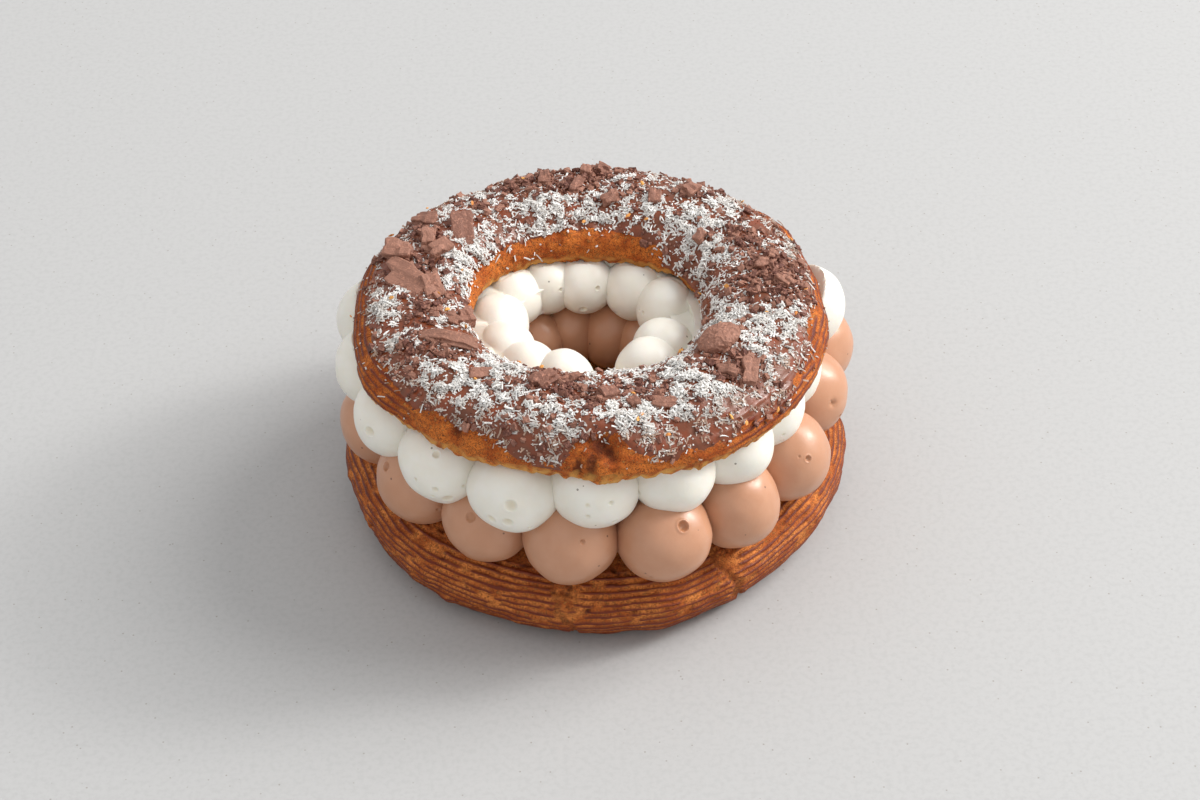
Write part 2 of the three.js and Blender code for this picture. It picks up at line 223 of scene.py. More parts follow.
# Slabs and lumps of chocolate: angle, distance from the lid's middle, turn, tip, and length, width, height
SLABS = [
    (174.5, 33.0, 147, 14, 9.0, 5.0, 1.3), (179, 28.6, 100, -14, 4.4, 3.2, 1.6),
    (143, 29.6, -97, 8, 7.6, 3.4, 1.4), (212, 29.2, 139, 16, 9.6, 2.4, 1.0),
    (163.3, 36.0, 15, 6, 4.6, 3.6, 2.6), (159.5, 29.2, 40, 4, 4.6, 2.6, 2.0),
    (156, 32.4, 80, 12, 5.4, 2.6, 1.8), (144.6, 37.0, 10, -8, 4.2, 2.8, 1.8),
    (318.2, 36.2, 68, 10, 4.6, 2.4, 1.9), (313.5, 34.0, -20, -12, 3.8, 2.0, 1.8),
    (274.4, 31.2, 30, 12, 3.2, 2.6, 2.0), (291.4, 34.6, 13, 10, 4.8, 1.9, 1.2),
    (253.7, 29.2, 75, 0, 4.2, 2.6, 1.8), (191.7, 23.4, 60, 10, 3.2, 2.6, 2.0),
    (198.0, 26.0, 100, 14, 3.6, 2.0, 1.4), (261.3, 26.4, 15, 0, 3.6, 1.8, 1.3),
    (65.2, 29.5, 90, 0, 2.8, 2.2, 1.8), (38.2, 26.4, 70, 0, 2.6, 2.0, 1.6),
    (81.4, 27.5, 20, 0, 3.0, 2.4, 1.6), (91, 36.4, 50, 10, 3.2, 2.4, 2.2),
    (86, 37.6, -30, 8, 2.6, 2.0, 2.0), (94.8, 30.4, 65, 14, 3.4, 2.0, 1.6),
    (104, 34.0, 130, 10, 3.4, 2.0, 1.6), (56, 34.0, 30, 12, 3.2, 2.2, 2.0),
    (11, 32.0, 10, 10, 2.8, 2.2, 1.8), (0, 34.5, 95, 0, 2.6, 2.0, 1.8), (232, 31.0, 10, 8, 3.4, 1.8, 1.4),
    (282, 33.0, 120, 8, 2.4, 1.8, 1.3),
]
SLAB_LEAN = (0.0, -0.6, 1.4)  # they lie on a heap of crumbs, so they are more level than the lid under them
SHAVING_PATCHES = [(318.5, 36.0, 2.2, 1.0), (313.5, 34.2, 2.0, 0.9), (323.5, 33.2, 1.6, 0.7)]
ROUND_LUMP = (324.6, 27.6, 8.6, 7.2, 4.0)  # angle, distance, length, width, height


def linear(red, green, blue):
    """A screen colour, 0 to 255, as the linear colour that shaders take."""
    shares = [value / 255 for value in (red, green, blue)]
    return tuple(s / 12.92 if s <= 0.04045 else ((s + 0.055) / 1.055) ** 2.4 for s in shares)


def toned(colour, shares):
    """A colour with its red, green and blue scaled."""
    return [value * share for value, share in zip(colour, shares)]


# Shape helpers


def select_only(*pieces):
    """Leaves just these pieces selected, the first of them active."""
    bpy.ops.object.select_all(action="DESELECT")
    for piece in pieces:
        piece.select_set(True)
    bpy.context.view_layer.objects.active = pieces[0]


def start_piece(name, add, **settings):
    """Adds a primitive with nothing else selected, and names it."""
    bpy.ops.object.select_all(action="DESELECT")
    add(**settings)
    piece = bpy.context.active_object
    piece.name = name
    piece.data.name = name
    return piece


def settle(piece):
    """Moves a piece's place, turn and size into its mesh."""
    select_only(piece)
    bpy.ops.object.transform_apply(location=True, rotation=True, scale=True)


@contextmanager
def editing(select):
    """Edit mode, with everything, nothing or what was chosen before selected to begin with."""
    bpy.ops.object.mode_set(mode="EDIT")
    if select != "CHOSEN":
        bpy.ops.mesh.select_all(action=select)
    yield
    bpy.ops.object.mode_set(mode="OBJECT")


def deselect_parts():
    """Leaves no vertex, edge or face of the active piece selected."""
    with editing("DESELECT"):
        pass


def apply_modifier(piece, kind, **settings):
    """Adds a modifier with these settings and applies it."""
    select_only(piece)
    bpy.ops.object.modifier_add(type=kind)
    modifier = piece.modifiers[-1]
    for name, value in settings.items():
        setattr(modifier, name, value)
    bpy.ops.object.modifier_apply(modifier=modifier.name)


def points_of(piece):
    """Every vertex of a piece, in millimetres."""
    points = np.empty(len(piece.data.vertices) * 3, np.float32)
    piece.data.vertices.foreach_get("co", points)
    return points.reshape(-1, 3).astype(float) / MM


def posed(points, pose):
    """Points moved by a matrix, all in millimetres."""
    return (np.c_[points, np.ones(len(points))] @ np.array(pose).T)[:, :3]


def move_points(piece, points):
    """Puts a piece's vertices at these points, in millimetres."""
    piece.data.vertices.foreach_set("co", (np.asarray(points) * MM).astype(np.float32).ravel())
    piece.data.update()


def normals_of(piece):
    """The direction out of the surface at every vertex."""
    normals = np.empty(len(piece.data.vertices) * 3, np.float32)
    piece.data.vertex_normals.foreach_get("vector", normals)
    return normals.reshape(-1, 3).astype(float)


def raise_surface(piece, heights):
    """Moves every vertex out by its height, in millimetres."""
    move_points(piece, points_of(piece) + normals_of(piece) * np.asarray(heights)[:, None])


def keep_value(piece, name, values):
    """Stores one number for each vertex, for the piece's material to read."""
    attribute = piece.data.attributes.new(name, "FLOAT", "POINT")
    attribute.data.foreach_set("value", np.asarray(values, np.float32))


def grain(points, size, shift=0.0):
    """Smooth noise from about -1 to 1 at each point, for bumps of a size in millimetres."""
    offset = Vector((shift, 1.7 * shift, -0.6 * shift))
    return np.array([noise.noise(Vector(point) / size + offset) for point in points])


def jolts(points, size, shift):
    """Uneven shifts of each point along all three axes, from about -1 to 1."""
    return np.stack([grain(points, size, shift + axis) for axis in range(3)], axis=1)


def rise(values, low, high):
    """0 below low, 1 above high, and smooth between them."""
    share = np.clip((values - low) / (high - low), 0, 1)
    return share * share * (3 - 2 * share)


def polar(points):
    """The angle in radians and the distance of each point round the Z axis."""
    return np.arctan2(points[:, 1], points[:, 0]), np.hypot(points[:, 0], points[:, 1])


def swell_at(angle, swellings):
    """How far an outline stands out at each angle, from its list of swellings."""
    total = np.zeros(len(angle))
    for at, spread, height in swellings:
        away = (np.degrees(angle) - at + 180) % 360 - 180
        total += height * np.exp(-((away / spread) ** 2))
    return total


def round_value(angle, table):
    """The value of a table of (degrees, value) at each angle, smooth all the way round."""
    degrees, values = zip(*table)
    return np.interp(np.degrees(angle) % 360, degrees, values, period=360)


def arc(centre, size, start, end, count):
    """Points on an ellipse from one angle to another, both ends with them."""
    angles = np.radians(np.linspace(start, end, count))
    return [(centre[0] + size[0] * math.cos(a), centre[1] + size[1] * math.sin(a)) for a in angles]


def run(start, end, count):
    """Points on the straight line from start to end, without its last one."""
    shares = np.linspace(0, 1, count, endpoint=False)
    (x, z), (end_x, end_z) = start, end
    return [(x + share * (end_x - x), z + share * (end_z - z)) for share in shares]


def turned_ring(name, section, steps):
    """A ring spun from a closed section, a list of (distance, height)."""
    ring = start_piece(name, bpy.ops.mesh.primitive_circle_add, vertices=len(section), radius=MM)
    move_points(ring, [(distance, 0, z) for distance, z in section])
    with editing("SELECT"):
        bpy.ops.mesh.spin(steps=steps, angle=math.tau, center=(0, 0, 0), axis=(0, 0, 1))
        bpy.ops.mesh.select_all(action="SELECT")
        bpy.ops.mesh.remove_doubles(threshold=0.01 * MM)
        bpy.ops.mesh.normals_make_consistent(inside=False)
    return ring


def finish_piece(piece, material, slot_name, *nodes):
    """Gives a piece its material, lets it ride, and hides the solids that it stands for. slot_name is not
    used.
    """
    piece.data.materials.clear()
    piece.data.materials.append(material)
    piece.data.polygons.foreach_set("material_index", [0] * len(piece.data.polygons))
    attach(piece, "root")
    if nodes:
        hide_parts(*nodes)


# Material helper


class Recipe:
    """The nodes of one material. Every pattern reads Object coordinates or a value kept on the piece."""

    def __init__(self, name, roughness, specular=0.5):
        self.material = bpy.data.materials.new(name)
        self.material.use_nodes = True
        self.tree = self.material.node_tree
        self.shader = self.tree.nodes["Principled BSDF"]
        self.shader.inputs["Roughness"].default_value = roughness
        self.shader.inputs["Specular IOR Level"].default_value = specular
        self.place = self.tree.nodes.new("ShaderNodeTexCoord").outputs["Object"]

    def node(self, kind, inputs, **settings):
        made = self.tree.nodes.new(kind)
        for name, value in settings.items():
            setattr(made, name, value)
        for name, value in inputs.items():
            if isinstance(value, bpy.types.NodeSocket):
                self.tree.links.new(value, made.inputs[name])
            else:
                made.inputs[name].default_value = value
        return made

    def noise(self, size, detail=2.0, roughness=0.5, distortion=0.0):
        """Noise from 0 to 1 with spots of a size in millimetres."""
        inputs = {"Vector": self.place, "Scale": 1 / (size * MM), "Detail": detail}
        inputs.update({"Roughness": roughness, "Distortion": distortion})
        return self.node("ShaderNodeTexNoise", inputs).outputs["Fac"]

    def dots(self, spacing, radius):
        """1 inside small round dots about a spacing apart, in millimetres."""
        cells = self.node("ShaderNodeTexVoronoi", {"Vector": self.place, "Scale": 1 / (spacing * MM)})
        return self.steps(cells.outputs["Distance"], radius * 1.15 / spacing, radius * 0.85 / spacing)

    def value(self, name):
        return self.node("ShaderNodeAttribute", {}, attribute_name=name).outputs["Fac"]

    def steps(self, value, low, high, to_low=0.0, to_high=1.0):
        inputs = {"Value": value, "From Min": low, "From Max": high, "To Min": to_low, "To Max": to_high}
        return self.node("ShaderNodeMapRange", inputs, interpolation_type="SMOOTHSTEP").outputs["Result"]

    def math(self, operation, first, second):
        return self.node("ShaderNodeMath", {0: first, 1: second}, operation=operation).outputs[0]

    def blend(self, share, first, second):
        """The first colour at share 0 and the second at share 1."""
        mixer = self.tree.nodes.new("ShaderNodeMix")
        mixer.data_type = "RGBA"
        for index, value in ((0, share), (6, first), (7, second)):
            if isinstance(value, bpy.types.NodeSocket):
                self.tree.links.new(value, mixer.inputs[index])
            elif index:
                mixer.inputs[index].default_value = (*value[:3], 1.0)
            else:
                mixer.inputs[index].default_value = value
        return mixer.outputs[2]

    def colour(self, socket):
        self.tree.links.new(socket, self.shader.inputs["Base Color"])

    def gloss(self, socket):
        self.tree.links.new(socket, self.shader.inputs["Roughness"])

    def bump(self, height, depth, strength=1.0):
        """Small relief of a depth in millimetres."""
        inputs = {"Height": height, "Distance": depth * MM, "Strength": strength}
        bumped = self.node("ShaderNodeBump", inputs)
        self.tree.links.new(bumped.outputs["Normal"], self.shader.inputs["Normal"])

    def soften(self, share, depth, colour):
        """Lets light spread under the surface, further for some colours."""
        self.shader.inputs["Subsurface Weight"].default_value = share
        self.shader.inputs["Subsurface Scale"].default_value = depth * MM
        self.shader.inputs["Subsurface Radius"].default_value = colour


# Settings that a user would change


def colour_setting(name, description, *screen_colour):
    """A colour that a user would change, given as it looks on a screen."""
    return FloatVectorProperty(
        name=name, description=description, subtype="COLOR", default=linear(*screen_colour)
    )


class CrustSettings(bpy.types.PropertyGroup):
    """Ridges and colours of the baked crust"""

    ridge_spacing: FloatProperty(
        name="Ridge spacing",
        description="Millimetres between ridges",
        default=1.42,
    )
    ridge_height: FloatProperty(
        name="Ridge height",
        description="Millimetres that a ridge stands up",
        default=0.38,
    )
    skin: colour_setting("Skin", "The smooth browned ridges", 92, 34, 14)
    torn: colour_setting("Torn crust", "The paler grainy crust between ridges", 218, 138, 72)
    crumb: colour_setting("Crumb", "The golden inside of the dough where it was cut", 226, 166, 88)


class CreamSettings(bpy.types.PropertyGroup):
    """Colours of the two creams"""

    chocolate: colour_setting("Chocolate cream", "Colour of the lower layer", 194, 144, 114)
    vanilla: colour_setting("Vanilla cream", "Colour of the upper layer", 238, 235, 226)


class ToppingSettings(bpy.types.PropertyGroup):
    """Colours and numbers of what lies on the lid"""

    glaze: colour_setting("Glaze", "Thin milk chocolate glaze", 108, 58, 34)
    coconut: colour_setting("Coconut", "Dried coconut shreds", 240, 239, 236)
    chocolate: colour_setting("Chocolate", "Broken milk chocolate", 150, 106, 89)
    shreds: IntProperty(name="Shreds", description="How many shreds of coconut", default=6800, min=1)
    bits: IntProperty(name="Bits", description="How many short bits of coconut", default=16000, min=1)
    chips: IntProperty(name="Chips", description="How many chips of chocolate", default=2500, min=1)
    dust: IntProperty(name="Dust", description="How many of the finest crumbs", default=3500, min=1)
    flakes: IntProperty(name="Flakes", description="How many flakes of crust", default=34, min=1)
    shavings: IntProperty(name="Shavings", description="How many shavings of chocolate", default=90, min=1)


class StageSettings(bpy.types.PropertyGroup):
    """The floor's colour and the lamps"""

    floor: colour_setting("Floor", "Colour of the floor", 182, 182, 182)
    key: FloatProperty(name="Key light", description="Watts of the soft light on the right", default=44.0)
    window: FloatProperty(name="Window", description="Watts of the small lamp on the right", default=17.0)
    fill: FloatProperty(name="Fill", description="Strength of the light from all round", default=0.78)


# The base


def base_outline(angle):
    """How far the base stands out of a true circle at each angle."""
    oval = 0.8 * np.cos(2 * angle) + 0.5 * np.cos(angle)
    return oval + 0.2 * np.sin(7 * angle) + swell_at(angle, BASE_SWELLINGS)


def base_section():
    """The base's closed section, from its foot up its shoulder and down through its hole."""
    shoulder = (BASE_OUTER - BASE_SHOULDER, BASE_WIDEST)
    low_side = arc(shoulder, (BASE_SHOULDER, BASE_WIDEST), -62, 0, 44)
    high_side = arc(shoulder, (BASE_SHOULDER, BASE_HEIGHT - BASE_WIDEST), 0, 90, 52)[1:]
    inner_width = 6.0
    rim = (BASE_HOLE + inner_width, BASE_HEIGHT)
    inner = arc((rim[0], BASE_WIDEST), (inner_width, BASE_HEIGHT - BASE_WIDEST), 90, 180, 8)
    foot_edge = (BASE_OUTER - BASE_FOOT_INSET, 0.0)
    return [
        *low_side,
        *high_side,
        *run((shoulder[0] - 0.4, BASE_HEIGHT), rim, 14),
        *inner,
        *run((BASE_HOLE + 0.8, 3.6), (BASE_HOLE + 4.0, 0.0), 3),
        *run((BASE_HOLE + 4.0, 0.0), foot_edge, 6),
        foot_edge,
    ]


# Marks on the base: angle round the ring, angle up its shoulder, width and depth
BASE_PITS = [(263.1, 36, 0.9, 0.7), (267.9, 12, 0.55, 0.6), (278.4, 6, 0.5, 0.6), (231, 40, 0.5, 0.4)]
BASE_BUMPS = [(203.7, -12, 1.6, 0.7), (232.3, -30, 1.5, 0.6), (250.6, -28, 1.2, 0.5), (188, 2, 1.2, 0.4)]
BASE_SEAMS = [(304.0, 1.1, 0.3), (262.5, 0.8, 0.15), (96.0, 1.2, 0.3), (171.0, 1.0, 0.2)]
# Rough places where the ridges are lost: angle round the ring, angle up its shoulder, width
BASE_ROUGH = [
    (262.9, 42, 3.4), (263.5, 18, 1.6), (303.5, 45, 3.0), (120, 30, 3.2), (32, 25, 2.6), (203.7, -10, 2.0),
]


def near_mark(angle, up, mark_angle, mark_up):
    """Millimetres over the base's shoulder from a mark."""
    around = (np.degrees(angle) - mark_angle + 180) % 360 - 180
    return np.hypot(np.radians(around) * BASE_OUTER, np.radians(up - mark_up) * BASE_SHOULDER)


def crust_ridges(across, angle, settings, seed):
    """Where smooth ridges run, 0 to 1, for a way across them in millimetres and an angle round the ring."""
    around = np.stack([np.cos(angle) * 4.2, np.sin(angle) * 4.2, across * 0.13], axis=1)
    drift = 0.5 * grain(around, 1.0, seed) + 0.16 * grain(around * 4, 1.0, seed + 3)
    phase = across / settings.ridge_spacing + drift
    strip = np.round(phase)
    along = np.stack([around[:, 0] * 2, around[:, 1] * 2, strip * 2.3], axis=1)
    width = 0.2 + 0.09 * grain(along, 1.0, seed)
    crest = 1 - rise(abs(phase - strip), width - 0.07, width + 0.07)
    along = np.stack([around[:, 0] * 2.4, around[:, 1] * 2.4, strip * 3.1], axis=1)
    breaks = grain(along, 1.0, seed + 7)
    return crest * rise(breaks, -0.46, -0.3)


def make_base():
    """The base, with ridges round its shoulder and its seams, rough places, pits and bumps."""
    settings = bpy.context.scene.crust_settings
    base = turned_ring("base_crust", base_section(), BASE_STEPS)
    points = points_of(base)
    angle, distance = polar(points)
    middle = (BASE_OUTER + BASE_HOLE) / 2
    shoulder = BASE_OUTER - BASE_SHOULDER
    tall = np.where(points[:, 2] > BASE_WIDEST, BASE_HEIGHT - BASE_WIDEST, BASE_WIDEST)
    up = np.degrees(np.arctan2((points[:, 2] - BASE_WIDEST) / tall, (distance - shoulder) / BASE_SHOULDER))
    outside = rise(distance, shoulder - 3, shoulder + 1) * (points[:, 2] > 0.01)
    share = np.clip((distance - middle) / (BASE_OUTER - middle), 0, None)
    distance = distance + base_outline(angle) * share
    points[:, 0] = distance * np.cos(angle)
    points[:, 1] = distance * np.sin(angle)
    move_points(base, points)

    across = np.radians(up) * BASE_ARC
    top_fade = 1 - rise(up + 9 * grain(points, 7.0, 4.0), 58, 74)
    seam = np.zeros(len(points))
    heights = 0.42 * grain(points, 7.5, 1.0) + 0.2 * grain(points, 3.2, 2.0)
    for seam_angle, width, depth in BASE_SEAMS:
        lean = 0.06 * np.radians(up) + 0.03 * grain(points, 3.0, seam_angle)
        off = abs((angle - math.radians(seam_angle) + lean + math.pi) % math.tau - math.pi) * BASE_OUTER
        line = 1 - rise(off, width * 0.3, width)
        seam = np.maximum(seam, line)
        heights += outside * (0.3 * depth * (1 - rise(off, width, width * 2.4)) - depth * line)
    rough = np.zeros(len(points))
    for rough_angle, rough_up, width in BASE_ROUGH:
        gap = near_mark(angle, up, rough_angle, rough_up) * (1 + 0.35 * grain(points, 1.6, rough_angle))
        rough = np.maximum(rough, 1 - rise(gap, width * 0.6, width))
    crest = crust_ridges(across, angle, settings, 11.0) * outside * top_fade * (1 - seam) * (1 - rough)
    torn = (1 - crest) * outside
    heights += settings.ridge_height * crest
    heights += torn * (0.18 * grain(points, 0.8, 5.0) + 0.14 * grain(points, 0.42, 6.0))
    heights += rough * outside * 0.4 * grain(points, 1.2, 9.0)
    pitted = outside * np.maximum(rise(up, 55, 70), rough) * rise(grain(points, 1.3, 8.0), 0.18, 0.5)
    heights -= 0.45 * pitted
    # The mask kept below marks pits and seam grooves, where the crust's colour is darkened as painted shade.
    painted_shade = 0.8 * pitted + 0.5 * seam
    for pit_angle, pit_up, width, depth in BASE_PITS:
        dip = np.exp(-((near_mark(angle, up, pit_angle, pit_up) / width) ** 2)) * outside
        heights -= depth * dip
        painted_shade = np.maximum(painted_shade, dip)
    for bump_angle, bump_up, width, depth in BASE_BUMPS:
        heights += depth * np.exp(-((near_mark(angle, up, bump_angle, bump_up) / width) ** 2)) * outside
    heights *= np.where(points[:, 2] < 0.01, 0.0, 1.0)
    raise_surface(base, heights)
    points = points_of(base)
    points[:, 2] = np.maximum(points[:, 2], 0.0)
    move_points(base, points)
    keep_value(base, "crest", crest)
    keep_value(base, "painted_shade", np.clip(painted_shade, 0, 1))
    keep_value(base, "cut", rise(1 - outside, 0.5, 1.0) * (points[:, 2] > 5))
    select_only(base)
    bpy.ops.object.shade_smooth()
    return base


def crust_material(name, settings, tone):
    """Baked crust: dark smooth skin on ridges, paler grainy crust where it tore, golden crumb at a cut, and
    painted shade in its pits and hollows.
    """
    crust = Recipe(name, 0.6, 0.28)
    skin_dark = toned(settings.skin, tone)
    torn_pale = toned(settings.torn, tone)
    skin = crust.blend(crust.noise(5.0, 2), skin_dark, toned(skin_dark, (1.7, 1.6, 1.5)))
    patchy = crust.steps(crust.noise(3.4, 3), 0.38, 0.62)
    torn = crust.blend(patchy, torn_pale, toned(torn_pale, (0.66, 0.5, 0.4)))
    fibres = crust.steps(crust.noise(0.5, 8, 0.8, 1.2), 0.47, 0.57)
    torn = crust.blend(crust.math("MULTIPLY", fibres, 0.9), torn, toned(skin_dark, (0.95, 0.66, 0.5)))
    pale = crust.steps(crust.noise(0.5, 6, 0.75, 0.8), 0.54, 0.66)
    torn = crust.blend(crust.math("MULTIPLY", pale, 0.5), torn, settings.crumb)
    colour = crust.blend(crust.value("crest"), torn, skin)
    # Painted shade: the crust is darkened towards a deep brown in its pits, seam grooves and hollows, where
    # shade would fall.
    dark = toned(skin_dark, (0.42, 0.3, 0.26))
    colour = crust.blend(crust.math("MULTIPLY", crust.value("painted_shade"), 0.75), colour, dark)
    crumb = crust.blend(crust.noise(0.9, 3), settings.crumb, [c * 0.7 for c in settings.crumb])
    crust.colour(crust.blend(crust.value("cut"), colour, crumb))
    crust.gloss(crust.steps(crust.value("crest"), 0.2, 0.8, 0.8, 0.36))
    crust.bump(crust.noise(0.35, 3, 0.6), 0.22, 0.8)
    return crust.material


# The cream


def dollop_list(layer, inner):
    """Each dollop as (place, turn, radial, tangential and vertical half size)."""
    made = []
    for angle, reach, half, lower in zip(layer["angles"], layer["reach"], layer["half"], layer["lower"]):
        turn = math.radians(angle)
        place = (reach * math.cos(turn), reach * math.sin(turn), layer["height"] - lower)
        made.append((place, turn, (half, half, layer["half_height"])))
    for angle, reach, half in zip(inner["angles"], inner["reach"], inner["half"]):
        turn = math.radians(angle)
        x = inner["middle"][0] + reach * math.cos(turn)
        y = inner["middle"][1] + reach * math.sin(turn)
        made.append(((x, y, inner["height"]), turn, (inner["size"], half, inner["size"])))
    return made


def piped_layer(name, layer, inner):
    """One layer of cream: the rings behind its dollops, with each dollop grown into its neighbours."""
    rings = []
    for near, far, low, high in layer["cores"]:
        section = [(near, low), (far, low), (far, high), (near, high)]
        rings.append(turned_ring(name, section, CORE_STEPS))
    cream = rings[0]
    dollops = bpy.data.collections.new("dollops")
    bpy.context.scene.collection.children.link(dollops)
    for ring in rings[1:]:
        dollops.objects.link(ring)
    for number, (place, turn, size) in enumerate(dollop_list(layer, inner)):
        dollop = start_piece(
            "dollop",
            bpy.ops.mesh.primitive_uv_sphere_add,
            segments=DOLLOP_FACES[0],
            ring_count=DOLLOP_FACES[1],
            radius=1,
            location=Vector(place) * MM,
            rotation=(0, 0, turn),
            scale=Vector(size) * MM,
        )
        settle(dollop)
        points = points_of(dollop)
        uneven = 0.4 * grain(points, 8.0, number) + 0.12 * grain(points, 3.2, number + 0.5)
        raise_surface(dollop, uneven)
        dollops.objects.link(dollop)
    joining = {"operation": "UNION", "solver": "MANIFOLD"}
    apply_modifier(cream, "BOOLEAN", operand_type="COLLECTION", collection=dollops, **joining)
    for dollop in list(dollops.objects):
        bpy.data.objects.remove(dollop)
    bpy.data.collections.remove(dollops)
    return cream


def press_under_lid(cream):
    """Presses the cream flat under the lid and lets it swell up beside the lid's edges."""
    points = posed(points_of(cream), LID_SET_DOWN.inverted())
    angle, distance = polar(points)
    outside = distance - (LID_OUTER + lid_outline(angle))
    in_hole = LID_HOLE + lid_hole(angle) - distance
    beside = np.clip(np.maximum(outside, in_hole), 0, None)
    points[:, 2] = np.minimum(points[:, 2], LID_UNDER - SETTLED + 1.3 * beside)
    move_points(cream, posed(points, LID_SET_DOWN))


def seeded_pits(cream, count, seed):
    """Small burst bubbles all over the outside of a layer, as (x, y, z, width, depth)."""
    draw = random.Random(seed)
    points = points_of(cream)
    normals = normals_of(cream)
    _, distance = polar(points)
    outward = np.sum(normals[:, :2] * points[:, :2], axis=1) / np.maximum(distance, 0.1)
    side = (distance > 38) & (outward > 0.3) | (distance < 19) & (outward < -0.3)
    open_air = np.flatnonzero(side & (abs(normals[:, 2]) < 0.8) & (points[:, 2] < 37.5))
    chosen = [points[draw.choice(open_air)] for _ in range(count)]
    return [(*point, draw.uniform(0.28, 0.6), draw.uniform(0.15, 0.4)) for point in chosen]


def open_pits(cream, pits):
    """Divides the surface finely round each pit, then presses the pit in and raises a thin lip round it."""
    tree = KDTree(len(pits))
    for i, pit in enumerate(pits):
        tree.insert(Vector(pit[:3]), i)
    tree.balance()
    select_only(cream)
    deselect_parts()
    for face in cream.data.polygons:
        centre = face.center / MM
        _, nearest, gap = tree.find(centre)
        face.select = gap < pits[nearest][3] * 1.8 + 0.3
    with editing("CHOSEN"):
        bpy.ops.mesh.select_mode(type="FACE")
        bpy.ops.mesh.subdivide(number_cuts=2)
    points = points_of(cream)
    normals = normals_of(cream)
    painted_shade = np.zeros(len(points))
    moved = points.copy()
    for x, y, z, width, depth in pits:
        gap = np.linalg.norm(points - (x, y, z), axis=1)
        close = np.flatnonzero(gap < width * 3)
        if not len(close):
            continue
        centre = close[np.argmin(gap[close])]
        gap = np.linalg.norm(points[close] - points[centre], axis=1) / width
        bowl = np.clip(1 - gap**2, 0, None) ** 0.8
        lip = np.exp(-(((gap - 1.15) / 0.22) ** 2))
        moved[close] += normals[centre] * (0.16 * depth * lip - depth * bowl)[:, None]
        painted_shade[close] = np.maximum(painted_shade[close], bowl)
    move_points(cream, moved)
    # The bowl of each pit is kept as a mask for painted shade in the cream's colour.
    keep_value(cream, "painted_shade", painted_shade)


def make_vanilla():
    """The upper layer of cream, pressed by the lid."""
    cream = piped_layer("vanilla_dollops", VANILLA_LAYER, VANILLA_INNER)
    press_under_lid(cream)
    return cream


def make_chocolate(vanilla):
    """The lower layer of cream, which stands on the base and is dented by the layer over it."""
    cream = piped_layer("chocolate_dollops", CHOCOLATE_LAYER, CHOCOLATE_INNER)
    points = points_of(cream)
    points[:, 2] = np.maximum(points[:, 2], BASE_HEIGHT - SETTLED)
    move_points(cream, points)
    apply_modifier(cream, "BOOLEAN", object=vanilla, operation="DIFFERENCE", solver="MANIFOLD")
    return cream


def cream_material(name, colour, shade, speck, roughness, glow):
    """Smooth cream with a satin surface, faint mottling, tiny specks and painted shade in its pits."""
    cream = Recipe(name, roughness, 0.55)
    mottled = cream.blend(cream.steps(cream.noise(4.0, 3), 0.3, 0.7), colour, toned(colour, shade))
    dots = cream.dots(3.4, 0.2)
    mottled = cream.blend(cream.math("MULTIPLY", dots, 0.75), mottled, speck)
    # Painted shade: the cream is darkened towards a deeper, warmer tone inside the bowl of each burst bubble.
    pit_shade_colour = toned(colour, (0.8, 0.72, 0.55))
    cream.colour(cream.blend(cream.math("MULTIPLY", cream.value("painted_shade"), 0.6), mottled, pit_shade_colour))
    cream.bump(cream.noise(0.9, 3, 0.6), 0.05, 0.5)
    cream.soften(glow, LIGHT_DEPTH, LIGHT_SPREAD)
    return cream.material


# The lid


def lid_outline(angle):
    """How far the lid's outer edge stands out of a true circle."""
    return 0.2 * np.cos(9 * angle) + swell_at(angle, LID_SWELLINGS)


def lid_hole(angle):
    """How much wider than a true circle the lid's hole is."""
    return np.cos(2 * angle) - 0.6 * np.cos(4 * angle) + 0.5 * np.sin(angle) - 0.6 * np.cos(angle)


def lid_swell(angle):
    """How much higher the lid's crest swells than its mean height."""
    return 0.35 * np.cos(4 * angle + 1.4) + 0.3 * np.cos(7 * angle) + 0.2 * np.cos(13 * angle + 0.7)


def lid_section():
    """The lid's closed section, over its dome from outside to inside and back under it."""
    rise_by = LID_CREST_HEIGHT - LID_WIDEST
    outer = arc((LID_CREST, LID_WIDEST), (LID_OUTER - LID_CREST, rise_by), 0, 90, 50)
    inner = arc((LID_CREST, LID_WIDEST), (LID_CREST - LID_HOLE, rise_by), 90, 180, 42)[1:]
    return [
        *run((LID_OUTER - 0.7, LID_UNDER), outer[0], 6),
        *outer,
        *inner,
        *run(inner[-1], (LID_HOLE + 0.7, LID_UNDER), 6)[1:],
        *run((LID_HOLE + 0.7, LID_UNDER), (LID_OUTER - 0.7, LID_UNDER), 16),
    ]


# Marks on the lid: angle, distance from its middle, width and depth
LID_HOLLOWS = [
    (271.5, 40.4, 2.4, 1.5), (274.1, 41.6, 1.5, 1.3), (269.1, 42.6, 1.4, 0.9), (273.2, 39.4, 0.9, 1.1),
    (266.0, 42.4, 1.0, 0.6), (235.5, 41.3, 1.5, 1.5), (233.0, 40.6, 0.9, 0.8), (20.8, 21.6, 1.0, 1.5),
    (15.0, 21.4, 0.9, 1.3), (331.6, 40.9, 1.1, 0.8), (95, 23.0, 1.5, 1.1), (85, 22.9, 1.5, 1.1),
    (105, 23.1, 1.4, 1.0), (76, 22.8, 1.3, 0.8), (120, 41.5, 1.8, 1.0), (75, 42.4, 1.4, 0.9),
]
GLAZE_THICKNESS = 0.25
GLAZE_FADE = 1.4
